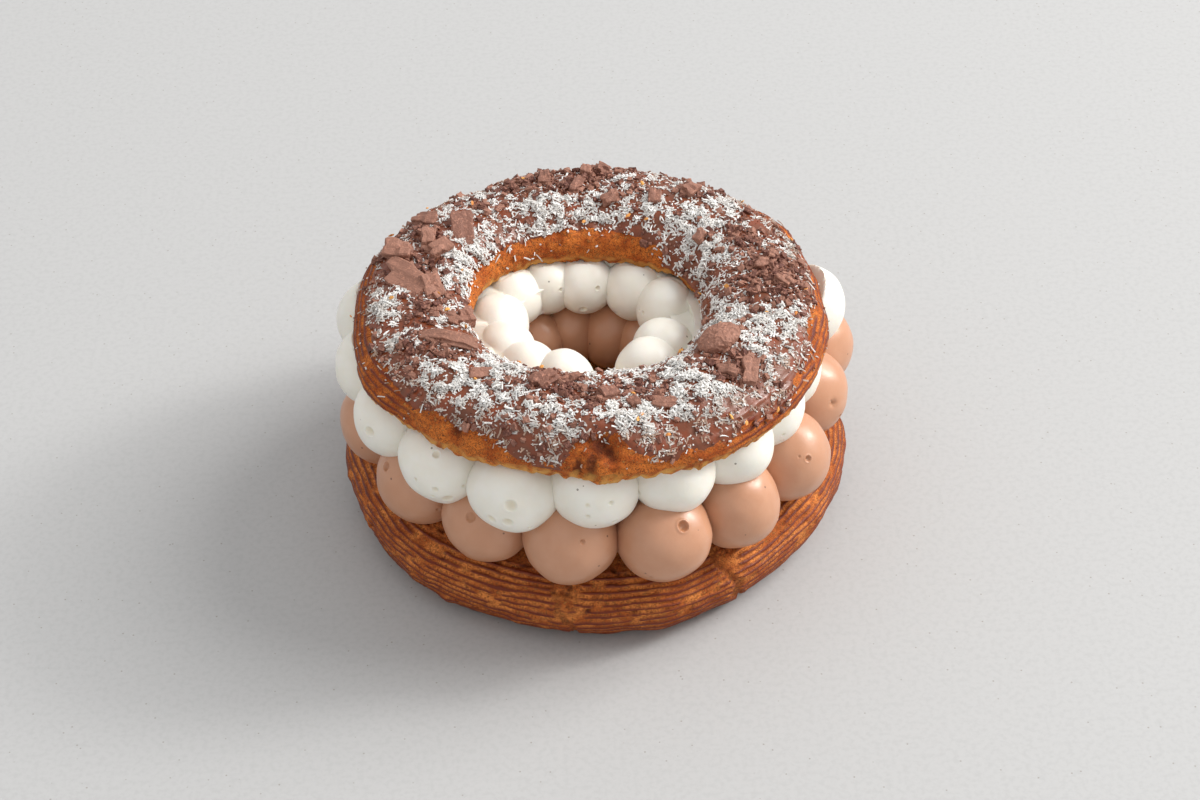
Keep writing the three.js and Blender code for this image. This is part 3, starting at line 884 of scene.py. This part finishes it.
# Where the glaze ends, outside and inside: angle, distance from the lid's middle
GLAZE_EDGE = [
    (0, 40.4), (20, 41.5), (50, 42.2), (90, 42.2), (130, 41.6), (160, 41.2), (185, 40.6), (205, 41.4),
    (218, 42.4), (228, 41.2), (238, 41.0), (247, 42.0), (262, 42.4), (268, 40.0), (273, 38.8), (277, 40.2),
    (281, 43.0), (295, 43.4), (309, 43.4), (322, 43.0), (335, 41.6), (345, 40.6),
]
GLAZE_INNER = [
    (0, 19.6), (30, 20.2), (60, 20.9), (90, 21.5), (120, 22.1), (150, 22.9), (180, 22.4), (210, 21.4),
    (330, 19.6),
]


def lid_up(points, distance):
    """Degrees round the lid's dome, 0 at its widest circle outside and 180 inside."""
    side = np.where(distance > LID_CREST, LID_OUTER - LID_CREST, LID_CREST - LID_HOLE)
    rise_by = LID_CREST_HEIGHT - LID_WIDEST
    return np.degrees(np.arctan2((points[:, 2] - LID_WIDEST) / rise_by, (distance - LID_CREST) / side))


def glaze_share(points):
    """0 on bare crust and 1 well inside the glaze."""
    angle, distance = polar(points)
    outer = round_value(angle, GLAZE_EDGE)
    outer = outer + 0.9 * grain(points, 4.5, 21.0) + 0.6 * grain(points, 1.6, 22.0)
    inner = round_value(angle, GLAZE_INNER)
    inner = inner + 0.6 * grain(points, 5.0, 23.0) + 0.5 * grain(points, 1.8, 24.0)
    return rise(outer - distance, 0.0, GLAZE_FADE) * rise(distance - inner, 0.0, GLAZE_FADE)


def make_lid():
    """The lid's crust, with its swells, its ragged cut edge, its ridges on the sides and its hollows."""
    settings = bpy.context.scene.crust_settings
    lid = turned_ring("lid_crust", lid_section(), LID_STEPS)
    points = points_of(lid)
    angle, distance = polar(points)
    up = lid_up(points, distance)
    outwards = np.clip((distance - LID_CREST) / (LID_OUTER - LID_CREST), 0, None)
    inwards = np.clip((LID_CREST - distance) / (LID_CREST - LID_HOLE), 0, None)
    upwards = np.clip((points[:, 2] - LID_UNDER) / (LID_CREST_HEIGHT - LID_UNDER), 0, None)
    sideways = np.maximum(outwards, inwards)
    edge = (1 - rise(points[:, 2], LID_UNDER, LID_UNDER + 2.6)) * rise(sideways, 0.75, 0.95)
    distance = distance + lid_outline(angle) * outwards + lid_hole(angle) * inwards
    points[:, 2] += lid_swell(angle) * upwards**2
    points[:, 0] = distance * np.cos(angle)
    points[:, 1] = distance * np.sin(angle)
    ragged = 0.8 * grain(points, 2.4, 31.0) + 0.6 * grain(points, 1.1, 32.0)
    points[:, 2] += edge * np.clip(ragged, -0.9, 0.7)
    move_points(lid, points)

    heights = (0.55 * grain(points, 8.0, 33.0) + 0.28 * grain(points, 3.0, 34.0)) * upwards
    across = np.radians(np.where(up > 90, 180 - up, up)) * LID_ARC
    outer_side = rise(outwards, 0.62, 0.8)
    turn = np.degrees(angle) % 360
    ridged = 1 - rise(abs(turn - 262), 30, 48)
    crest = crust_ridges(across, angle, settings, 41.0) * outer_side * (1 - ridged)
    crest *= rise(points[:, 2], LID_UNDER + 0.8, LID_UNDER + 1.8)
    heights += LID_RIDGE_HEIGHT * crest
    rough = 0.16 * grain(points, 1.1, 35.0) + 0.12 * grain(points, 0.5, 36.0)
    heights += (1 - crest) * rough * (points[:, 2] > LID_UNDER - 0.2)
    # The mask kept below marks the lid's hollows, where the crust's colour is darkened as painted shade.
    painted_shade = np.zeros(len(points))
    for mark_angle, mark_distance, width, depth in LID_HOLLOWS:
        away = np.radians((turn - mark_angle + 180) % 360 - 180) * mark_distance
        gap = np.hypot(away, distance - mark_distance)
        gap = gap * (1 + 0.3 * grain(points, 1.2, mark_angle))
        dip = np.exp(-((gap / width) ** 2)) * (points[:, 2] > LID_UNDER + 1.0)
        heights -= depth * dip
        painted_shade = np.maximum(painted_shade, rise(dip, 0.35, 0.9))
    raise_surface(lid, heights)
    under = (abs(points[:, 2] - LID_UNDER) < 0.01) & (outwards < 0.9) & (inwards < 0.9)
    keep_value(lid, "crest", crest)
    keep_value(lid, "painted_shade", painted_shade)
    torn_edge = edge * rise(grain(points, 1.5, 37.0) + 0.35 * edge, -0.1, 0.4)
    keep_value(lid, "cut", np.maximum(torn_edge, under))
    select_only(lid)
    bpy.ops.object.shade_smooth()
    return lid


def lid_material(settings):
    """The lid's crust: as the base's, but darker and more orange."""
    return crust_material("lid_baked_crust", settings, (0.9, 0.7, 0.42))


def make_glaze(lid):
    """A thin film over the lid's top, thicker in its hollows and gone at its edges."""
    select_only(lid)
    bpy.ops.object.duplicate()
    glaze = bpy.context.active_object
    glaze.name = "lid_glaze"
    glaze.data.name = "lid_glaze"
    share = glaze_share(points_of(glaze))
    share *= points_of(glaze)[:, 2] > LID_UNDER + 2
    for face in glaze.data.polygons:
        face.select = all(share[i] <= 0.02 for i in face.vertices)
    with editing("CHOSEN"):
        bpy.ops.mesh.select_mode(type="FACE")
        bpy.ops.mesh.delete(type="FACE")
    bpy.ops.object.modifier_add(type="SMOOTH")
    glaze.modifiers[-1].iterations = 3
    bpy.ops.object.modifier_apply(modifier=glaze.modifiers[-1].name)
    points = points_of(glaze)
    share = glaze_share(points)
    pooled = 0.5 + 0.5 * grain(points, 2.6, 51.0)
    raise_surface(glaze, -0.12 + share * (0.2 + 0.26 * pooled))
    apply_modifier(glaze, "SOLIDIFY", thickness=GLAZE_THICKNESS * MM, offset=-1.0)
    select_only(glaze)
    bpy.ops.object.shade_smooth()
    return glaze


def glaze_material(settings):
    """Thin milk chocolate glaze: glossy, with paler orange-brown patches and milky spots."""
    film = Recipe("milk_chocolate_glaze", 0.3, 0.5)
    thin = toned(settings.glaze, (1.35, 0.95, 0.6))
    colour = film.blend(film.steps(film.noise(2.8, 4, 0.6), 0.35, 0.65), thin, settings.glaze)
    milky = toned(settings.glaze, (1.6, 1.8, 2.0))
    colour = film.blend(film.steps(film.noise(1.2, 3, 0.6), 0.58, 0.78, 0.0, 0.25), colour, milky)
    film.colour(colour)
    film.gloss(film.steps(film.noise(2.0, 3), 0.3, 0.7, 0.25, 0.5))
    film.bump(film.noise(0.7, 3, 0.6), 0.12, 0.6)
    return film.material


# Toppings


def patch_depth(angle, distance, patches):
    """How thickly a topping lies at each place, from its patches."""
    x = distance * np.cos(angle)
    y = distance * np.sin(angle)
    total = np.zeros(len(x))
    for turn, reach, spread, thickness in patches:
        centre_x = reach * math.cos(math.radians(turn))
        centre_y = reach * math.sin(math.radians(turn))
        total += thickness * np.exp(-(((x - centre_x) ** 2 + (y - centre_y) ** 2) / spread**2))
    return total


class Ground:
    """The glazed top of the lid, to strew things on."""

    def __init__(self, lid):
        mesh = lid.data
        corners = points_of(lid)
        normals = normals_of(lid)
        faces = np.array([face.vertices[:] for face in mesh.polygons if len(face.vertices) == 4])
        middles = corners[faces].mean(axis=1)
        upright = normals[faces].mean(axis=1)[:, 2]
        kept = (upright > 0.0) & (middles[:, 2] > LID_UNDER + 2)
        self.faces = faces[kept]
        self.corners = corners
        self.normals = normals
        self.middles = middles[kept]
        across = corners[self.faces[:, 2]] - corners[self.faces[:, 0]]
        along = corners[self.faces[:, 3]] - corners[self.faces[:, 1]]
        self.areas = np.linalg.norm(np.cross(across, along), axis=1) / 2
        self.angle, self.distance = polar(self.middles)
        self.glazed = glaze_share(self.middles)

    def spots(self, density, count, draw):
        """Draws places as (point, normal, density there), more of them where density is high."""
        weights = np.cumsum(self.areas * density)
        picked = np.searchsorted(weights, [draw.random() * weights[-1] for _ in range(count)])
        found = []
        for i in picked:
            quad = self.faces[min(i, len(self.faces) - 1)]
            first, second = draw.random(), draw.random()
            left, low = 1 - first, 1 - second
            shares = [left * low, first * low, first * second, left * second]
            point = sum(share * self.corners[k] for share, k in zip(shares, quad))
            normal = Vector(sum(share * self.normals[k] for share, k in zip(shares, quad))).normalized()
            found.append((Vector(point), normal, density[min(i, len(self.faces) - 1)]))
        return found


def lying(point, normal, turn, tip, roll, size):
    """The matrix of something that lies on a surface, tipped a little, in millimetres."""
    stand = normal.to_track_quat("Z", "Y").to_matrix().to_4x4()
    spin = Matrix.Rotation(turn, 4, "Z") @ Matrix.Rotation(tip, 4, "Y") @ Matrix.Rotation(roll, 4, "X")
    return Matrix.Translation(point) @ stand @ spin @ Matrix.Diagonal((*size, 1.0))


def strewn(name, patterns, places, tints):
    """One mesh of many copies: pattern number and matrix for each, with a tint kept on every copy."""
    shapes = []
    for pattern in patterns:
        corners = np.c_[points_of(pattern), np.ones(len(pattern.data.vertices))]
        shapes.append((corners, [tuple(face.vertices) for face in pattern.data.polygons]))
        bpy.data.objects.remove(pattern)
    corners, faces, values = [], [], []
    count = 0
    for (kind, matrix), tint in zip(places, tints):
        shape, sides = shapes[kind]
        corners.append((shape @ np.array(matrix).T)[:, :3])
        faces.extend(tuple(i + count for i in side) for side in sides)
        values.extend([tint] * len(shape))
        count += len(shape)
    mesh = bpy.data.meshes.new(name)
    mesh.from_pydata((np.concatenate(corners) * MM).tolist(), [], faces)
    mesh.update()
    piece = bpy.data.objects.new(name, mesh)
    bpy.context.scene.collection.objects.link(piece)
    keep_value(piece, "tint", values)
    return piece


def shred_pattern(bend, taper, curl):
    """A shred 1 mm long, wide and thick before it is scaled, bent sideways and up in the middle."""
    shred = start_piece("shred", bpy.ops.mesh.primitive_cube_add, size=MM)
    deselect_parts()
    for edge in shred.data.edges:
        first, second = (shred.data.vertices[i].co for i in edge.vertices)
        edge.select = abs(first.x - second.x) > MM / 2
    with editing("CHOSEN"):
        bpy.ops.mesh.select_mode(type="EDGE")
        bpy.ops.mesh.subdivide(number_cuts=1)
    points = points_of(shred)
    ends = abs(points[:, 0]) > 0.25
    points[:, 1] *= np.where(points[:, 0] > 0.25, taper, 1.0)
    points[:, 1] += np.where(ends, 0.0, bend)
    points[:, 2] += np.where(ends, 0.0, curl)
    move_points(shred, points)
    return shred


def crumb_pattern(seed, coarse):
    """A broken crumb 1 mm across, angular and uneven."""
    draw = random.Random(seed)
    if coarse:
        crumb = start_piece("crumb", bpy.ops.mesh.primitive_cube_add, size=MM)
        with editing("SELECT"):
            bpy.ops.mesh.subdivide(number_cuts=1, smoothness=0.25)
    else:
        ball = bpy.ops.mesh.primitive_ico_sphere_add
        crumb = start_piece("crumb", ball, subdivisions=1, radius=0.55 * MM)
    points = points_of(crumb)
    points += np.array([[draw.uniform(-0.17, 0.17) for _ in range(3)] for _ in points])
    move_points(crumb, points)
    return crumb


def make_coconut(ground, name, count, patterns, lengths, widths, seed):
    """Coconut of one kind: clean and loose on top, soaked brown where glaze runs down the outer slope."""
    draw = random.Random(seed)
    coconut = patch_depth(ground.angle, ground.distance, COCONUT_PATCHES)
    chocolate = patch_depth(ground.angle, ground.distance, CHOCOLATE_PATCHES)
    mottle = 0.12 + 1.3 * rise(grain(ground.middles, 2.0, 61.0), -0.25, 0.4)
    slope = 1 - 0.35 * rise(ground.distance, 38.0, 41.0)
    density = (0.2 + coconut) * mottle * slope / (1 + 0.5 * chocolate) * (0.045 + ground.glazed)
    places = []
    tints = []
    for point, normal, depth in ground.spots(density, count, draw):
        length = lengths[0] + (lengths[1] - lengths[0]) * draw.random() ** 1.8
        size = (length, draw.uniform(*widths), draw.uniform(0.09, 0.17))
        soaked = float(rise(point.xy.length, 36.0, 41.0)) * draw.random() ** 0.8
        lift = 0.2 + draw.random() * min(0.9, 0.55 * depth) * (1 - 0.9 * soaked)
        tip = draw.gauss(0, 0.3)
        turn = draw.uniform(0, math.tau)
        matrix = lying(point + normal * lift, normal, turn, tip, draw.gauss(0, 0.5), size)
        places.append((draw.randrange(len(patterns)), matrix))
        tints.append(min(1.0, 0.55 * draw.random() + soaked))
    return strewn(name, patterns, places, tints)


def make_shreds(ground):
    """The longer shreds, bent and tapered."""
    shapes = ((0.1, 0.6, 0.5), (0.5, 0.9, 0.9), (-0.35, 0.4, 0.2), (0, 1.1, -0.4))
    patterns = [shred_pattern(*shape) for shape in shapes]
    count = bpy.context.scene.topping_settings.shreds
    return make_coconut(ground, "coconut_shreds", count, patterns, (0.6, 2.0), (0.18, 0.34), 5)


def make_bits(ground):
    """The short broken bits between the shreds."""
    patterns = [start_piece("bit", bpy.ops.mesh.primitive_cube_add, size=MM)]
    count = bpy.context.scene.topping_settings.bits
    return make_coconut(ground, "coconut_bits", count, patterns, (0.3, 0.9), (0.14, 0.3), 6)


def make_crumbs(ground):
    """Broken chocolate: chips in patches, fine crumbs nearly everywhere, and shavings by the round lump."""
    settings = bpy.context.scene.topping_settings
    draw = random.Random(8)
    chocolate = patch_depth(ground.angle, ground.distance, CHOCOLATE_PATCHES)
    shavings = patch_depth(ground.angle, ground.distance, SHAVING_PATCHES)
    mottle = 0.4 + 1.1 * rise(grain(ground.middles, 1.6, 71.0), -0.2, 0.45)
    open_ground = 0.02 + ground.glazed
    kinds = (
        (settings.chips, (0.1 + chocolate) * mottle * open_ground, (0.45, 1.35), 0, 5),
        (settings.dust, (0.3 + chocolate) * mottle * open_ground, (0.25, 0.6), 5, 3),
        (settings.shavings, shavings**2, (1.4, 3.4), 8, 2),
    )
    patterns = [crumb_pattern(seed, True) for seed in range(5)]
    patterns += [crumb_pattern(seed, False) for seed in range(9, 12)]
    patterns += [shred_pattern(0.3, 0.8, 0.8), shred_pattern(-0.4, 0.6, 0.4)]
    places = []
    tints = []
    for count, density, (small, large), first, choices in kinds:
        for point, normal, depth in ground.spots(density, count, draw):
            across = small + (large - small) * draw.random() ** 2
            wide = across * draw.uniform(0.6, 0.9) if first < 8 else draw.uniform(0.4, 0.8)
            tall = across * draw.uniform(0.45, 0.75) if first < 8 else draw.uniform(0.15, 0.35)
            lift = 0.1 + tall * 0.35 + draw.random() * min(0.7, 0.3 * depth)
            turns = (draw.uniform(0, math.tau), draw.gauss(0, 0.4), draw.gauss(0, 0.4))
            matrix = lying(point + normal * lift, normal, *turns, (across, wide, tall))
            places.append((first + draw.randrange(choices), matrix))
            tints.append(draw.random() ** 1.4)
    return strewn("chocolate_crumbs", patterns, places, tints)


def make_flakes(ground):
    """The few bright flakes of crust that lie among the toppings."""
    draw = random.Random(21)
    count = bpy.context.scene.topping_settings.flakes
    patterns = [crumb_pattern(seed, False) for seed in range(12, 15)]
    places = []
    for point, normal, _ in ground.spots(0.2 + ground.glazed, count, draw):
        across = draw.uniform(0.6, 1.3)
        size = (across, across * draw.uniform(0.5, 0.8), across * 0.4)
        turns = (draw.uniform(0, math.tau), draw.gauss(0, 0.5), draw.gauss(0, 0.5))
        places.append((draw.randrange(len(patterns)), lying(point + normal * 0.9, normal, *turns, size)))
    return strewn("crust_flakes", patterns, places, [draw.random() for _ in places])


def make_lump(lid):
    """The one round lump, a domed flake of chocolate with a rough top."""
    angle, reach, length, width, height = ROUND_LUMP
    direction = math.radians(angle)
    start = Vector((reach * math.cos(direction), reach * math.sin(direction), 80))
    _, place, normal, _ = lid.ray_cast(start * MM, Vector((0, 0, -1)))
    lump = start_piece("lump", bpy.ops.mesh.primitive_ico_sphere_add, subdivisions=6, radius=0.5 * MM)
    points = points_of(lump) * (length, width, height)
    points *= 1 + 0.1 * grain(points, 2.6, 3.0)[:, None] + 0.05 * grain(points, 0.9, 4.0)[:, None]
    points += jolts(points, 0.45, 8.0) * 0.16
    pose = lying(place / MM + normal * 0.7, normal, direction + 0.3, -0.1, 0.0, (1, 1, 1))
    move_points(lump, posed(points, pose))
    keep_value(lump, "tint", [0.85] * len(points))
    return lump


def make_slabs(lid):
    """Slabs and lumps of broken chocolate, each shaped by itself and set down on the lid."""
    draw = random.Random(17)
    made = []
    for angle, reach, turn, tip, length, width, height in SLABS:
        direction = math.radians(angle)
        start = Vector((reach * math.cos(direction), reach * math.sin(direction), 80))
        hit, place, normal, _ = lid.ray_cast(start * MM, Vector((0, 0, -1)))
        if not hit:
            raise RuntimeError("a slab lies beside the lid")
        slab = start_piece("slab", bpy.ops.mesh.primitive_cube_add, size=MM)
        with editing("SELECT"):
            bpy.ops.mesh.bevel(offset=0.06 * MM, segments=1)
            bpy.ops.mesh.select_all(action="SELECT")
            bpy.ops.mesh.subdivide(number_cuts=4)
        points = points_of(slab)
        corner = np.array([[draw.uniform(-0.16, 0.16) for _ in range(3)] for _ in range(8)])
        octant = (points[:, 0] > 0) * 4 + (points[:, 1] > 0) * 2 + (points[:, 2] > 0)
        points += corner[octant] * abs(points * 2) ** 1.5
        points *= (length, width, height)
        arch = 0.1 * length * (1 - (points[:, 0] / length * 2) ** 2)
        points[:, 2] += arch * (1 if length > 3 * width else 0.15)
        shift = angle * 0.37
        points += jolts(points, 0.8, shift) * 0.17
        points += jolts(points, 2.2, shift + 5) * 0.2
        middle = place / MM + normal * (0.1 + height * 0.34)
        normal = (normal + Vector(SLAB_LEAN)).normalized()
        matrix = np.array(lying(middle, normal, math.radians(turn), math.radians(tip), 0.0, (1, 1, 1)))
        points = (np.c_[points, np.ones(len(points))] @ matrix.T)[:, :3]
        move_points(slab, points)
        keep_value(slab, "tint", [0.4 + 0.6 * draw.random()] * len(points))
        made.append(slab)
    made.append(make_lump(lid))
    select_only(*made)
    bpy.ops.object.join()
    slabs = bpy.context.active_object
    slabs.name = "chocolate_slabs"
    slabs.data.name = "chocolate_slabs"
    settle(slabs)
    return slabs


def chocolate_material(name, settings):
    """Broken milk chocolate: dull, rough where it broke, with lighter grazed faces."""
    broken = Recipe(name, 0.62, 0.35)
    # The tint runs from a dark reddish brown to mid brown and is picked at random for each chip and slab. The
    # dark end is partly the darker chips' own colour and partly painted shade matched to chips in shadow.
    dark = toned(settings.chocolate, (0.38, 0.26, 0.25))
    light = toned(settings.chocolate, (1.75, 1.72, 1.68))
    colour = broken.blend(broken.steps(broken.value("tint"), 0.0, 0.8), dark, settings.chocolate)
    grazed = broken.steps(broken.noise(0.55, 3, 0.65), 0.5, 0.72)
    colour = broken.blend(broken.math("MULTIPLY", grazed, 0.75), colour, light)
    broken.colour(colour)
    broken.bump(broken.noise(0.3, 3, 0.65), 0.2, 0.9)
    return broken.material


def flake_material(settings):
    """Flakes of crust, from orange to golden."""
    flake = Recipe("crust_flake", 0.6, 0.3)
    flake.colour(flake.blend(flake.value("tint"), settings.torn, settings.crumb))
    return flake.material


def coconut_material(settings):
    """Dried coconut: white, some shreds a little grey or translucent."""
    shred = Recipe("dried_coconut", 0.55, 0.4)
    grey = toned(settings.coconut, (0.66, 0.63, 0.61))
    brown = toned(settings.coconut, (0.42, 0.25, 0.17))
    clean = shred.blend(shred.steps(shred.value("tint"), 0.05, 0.5), settings.coconut, grey)
    shred.colour(shred.blend(shred.steps(shred.value("tint"), 0.5, 1.0, 0.0, 0.85), clean, brown))
    shred.bump(shred.noise(0.3, 2), 0.05, 0.5)
    shred.soften(0.25, 0.4, (1.0, 0.95, 0.85))
    return shred.material


# The stage


def make_camera():
    """The photograph's camera, turned so that the foot's middle falls on its pixel."""
    elevation = math.radians(CAMERA_ELEVATION)
    roll = math.radians(CAMERA_ROLL)
    back = Vector((0, -math.cos(elevation), math.sin(elevation)))
    level_right = Vector((1, 0, 0))
    level_up = Vector((0, math.sin(elevation), math.cos(elevation)))
    right = level_right * math.cos(roll) - level_up * math.sin(roll)
    up = level_up * math.cos(roll) + level_right * math.sin(roll)
    over = (PHOTO_WIDTH / 2 - FOOT_PIXEL[0]) / FOCAL_PIXELS
    above = (FOOT_PIXEL[1] - PHOTO_HEIGHT / 2) / FOCAL_PIXELS
    away = (back - right * over - up * above).normalized()
    side = up.cross(away).normalized()
    upright = away.cross(side)
    camera = bpy.data.objects.new("camera", bpy.data.cameras.new("camera"))
    camera.data.sensor_width = SENSOR_WIDTH
    camera.data.lens = FOCAL_PIXELS / PHOTO_WIDTH * SENSOR_WIDTH
    camera.data.clip_start = 0.02
    eye = RING_PLACE.translation * MM + back * CAMERA_DISTANCE
    camera.matrix_world = Matrix.Translation(eye) @ Matrix((side, upright, away)).transposed().to_4x4()
    bpy.context.scene.collection.objects.link(camera)
    bpy.context.scene.camera = camera


def make_floor(settings):
    """The pale speckled floor under the ring."""
    floor = start_piece("floor", bpy.ops.mesh.primitive_plane_add, size=FLOOR_SIZE)
    stone = Recipe("pale_floor", 0.6, 0.3)
    cloudy = stone.steps(stone.noise(1.1, 3, 0.6), 0.4, 0.7)
    plain = stone.blend(cloudy, settings.floor, toned(settings.floor, (0.94, 0.94, 0.94)))
    stone.colour(stone.blend(stone.dots(2.6, 0.17), plain, toned(settings.floor, (0.7, 0.66, 0.62))))
    floor.data.materials.append(stone.material)


def add_lamp(name, watts, size, towards):
    """A round lamp of a size in metres, some way off in a direction, that shines at the origin."""
    lamp = bpy.data.lights.new(name, "AREA")
    lamp.shape = "DISK"
    lamp.size = size
    lamp.energy = watts
    lamp.color = LAMP_TINT
    placed = bpy.data.objects.new(name, lamp)
    direction = Vector(towards).normalized()
    placed.location = direction * LAMP_DISTANCE
    placed.rotation_euler = direction.to_track_quat("Z", "Y").to_euler()
    bpy.context.scene.collection.objects.link(placed)


def make_lights(settings):
    """Even light from all round, a wide soft lamp on the right and a small one for highlights."""
    world = bpy.data.worlds.new("soft_room")
    world.use_nodes = True
    shade = world.node_tree.nodes["Background"]
    shade.inputs["Color"].default_value = (1.0, 1.0, 1.0, 1.0)
    shade.inputs["Strength"].default_value = settings.fill
    bpy.context.scene.world = world
    add_lamp("soft_key", settings.key, KEY_SIZE, KEY_FROM)
    add_lamp("window", settings.window, WINDOW_SIZE, WINDOW_FROM)


# Operators


class ChouxStage(bpy.types.Operator):
    """Adds the camera, the pale floor and the soft lights"""

    bl_idname = "choux.stage"
    bl_label = "Stage"

    def execute(self, context):
        settings = context.scene.stage_settings
        make_camera()
        make_floor(settings)
        make_lights(settings)
        context.scene.view_settings.view_transform = "Standard"
        return {"FINISHED"}


class ChouxBase(bpy.types.Operator):
    """Builds the ridged base"""

    bl_idname = "choux.base"
    bl_label = "Base"

    def execute(self, context):
        base = make_base()
        material = crust_material("baked_crust", context.scene.crust_settings, (1.0, 0.92, 0.8))
        finish_piece(base, material, "baked_choux", "choux_base")
        return {"FINISHED"}


class ChouxCream(bpy.types.Operator):
    """Pipes the vanilla cream and the chocolate cream under it"""

    bl_idname = "choux.cream"
    bl_label = "Cream"

    def execute(self, context):
        settings = context.scene.cream_settings
        vanilla = make_vanilla()
        chocolate = make_chocolate(vanilla)
        open_pits(vanilla, VANILLA_PITS + seeded_pits(vanilla, PITS_AT_RANDOM["vanilla"], 3))
        open_pits(chocolate, CHOCOLATE_PITS + seeded_pits(chocolate, PITS_AT_RANDOM["chocolate"], 4))
        for cream in (vanilla, chocolate):
            select_only(cream)
            bpy.ops.object.shade_smooth_by_angle(angle=math.radians(50))
        white = cream_material(
            "vanilla_cream", settings.vanilla, (0.96, 0.95, 0.92), linear(96, 84, 70), 0.4, 0.12
        )
        brown = cream_material(
            "chocolate_cream", settings.chocolate, (0.94, 0.9, 0.86), linear(92, 56, 38), 0.34, 0.12
        )
        finish_piece(vanilla, white, "vanilla_cream", "vanilla_cream")
        finish_piece(chocolate, brown, "chocolate_cream", "chocolate_cream")
        return {"FINISHED"}


class ChouxLid(bpy.types.Operator):
    """Builds the lid's crust with the glaze over it"""

    bl_idname = "choux.lid"
    bl_label = "Lid and glaze"

    def execute(self, context):
        lid = make_lid()
        glaze = make_glaze(lid)
        finish_piece(lid, lid_material(context.scene.crust_settings), "lid_choux", "choux_lid")
        finish_piece(glaze, glaze_material(context.scene.topping_settings), "glaze")
        return {"FINISHED"}


class ChouxToppings(bpy.types.Operator):
    """Strews coconut and broken chocolate on the lid"""

    bl_idname = "choux.toppings"
    bl_label = "Toppings"

    def execute(self, context):
        settings = context.scene.topping_settings
        lid = bpy.data.objects["lid_crust"]
        ground = Ground(lid)
        chocolate = chocolate_material("broken_chocolate", settings)
        finish_piece(make_slabs(lid), chocolate, "chocolate")
        finish_piece(make_crumbs(ground), chocolate, "chocolate")
        coconut = coconut_material(settings)
        finish_piece(make_shreds(ground), coconut, "coconut")
        finish_piece(make_bits(ground), coconut, "coconut")
        finish_piece(make_flakes(ground), flake_material(context.scene.crust_settings), "lid_choux")
        return {"FINISHED"}


class ChouxPlace(bpy.types.Operator):
    """Moves every piece from where it was made to where the solids are"""

    bl_idname = "choux.place"
    bl_label = "Put together"

    def execute(self, context):
        for names, place in ((RING_PIECES, RING_PLACE), (LID_PIECES, RING_PLACE @ LID_SET_DOWN)):
            for name in names:
                piece = bpy.data.objects[name]
                move_points(piece, posed(points_of(piece), place))
        return {"FINISHED"}


class ChouxPanel(bpy.types.Panel):
    """Lists the steps in the sidebar"""

    bl_idname = "VIEW3D_PT_choux_ring"
    bl_label = "Choux Ring"
    bl_space_type = "VIEW_3D"
    bl_region_type = "UI"
    bl_category = "Choux Ring"

    def draw(self, context):
        for operator in OPERATORS:
            self.layout.operator(operator.bl_idname)


OPERATORS = (ChouxStage, ChouxBase, ChouxCream, ChouxLid, ChouxToppings, ChouxPlace)
SETTINGS = {
    "crust_settings": CrustSettings,
    "cream_settings": CreamSettings,
    "topping_settings": ToppingSettings,
    "stage_settings": StageSettings,
}


def register():
    for kind in (*SETTINGS.values(), *OPERATORS, ChouxPanel):
        bpy.utils.register_class(kind)
    for name, kind in SETTINGS.items():
        setattr(bpy.types.Scene, name, PointerProperty(type=kind))


def unregister():
    for name in SETTINGS:
        delattr(bpy.types.Scene, name)
    for kind in reversed((*SETTINGS.values(), *OPERATORS, ChouxPanel)):
        bpy.utils.unregister_class(kind)


def main():
    register()
    bpy.ops.choux.stage()
    bpy.ops.choux.base()
    bpy.ops.choux.cream()
    bpy.ops.choux.lid()
    bpy.ops.choux.toppings()
    bpy.ops.choux.place()


if __name__ == "__main__":
    main()
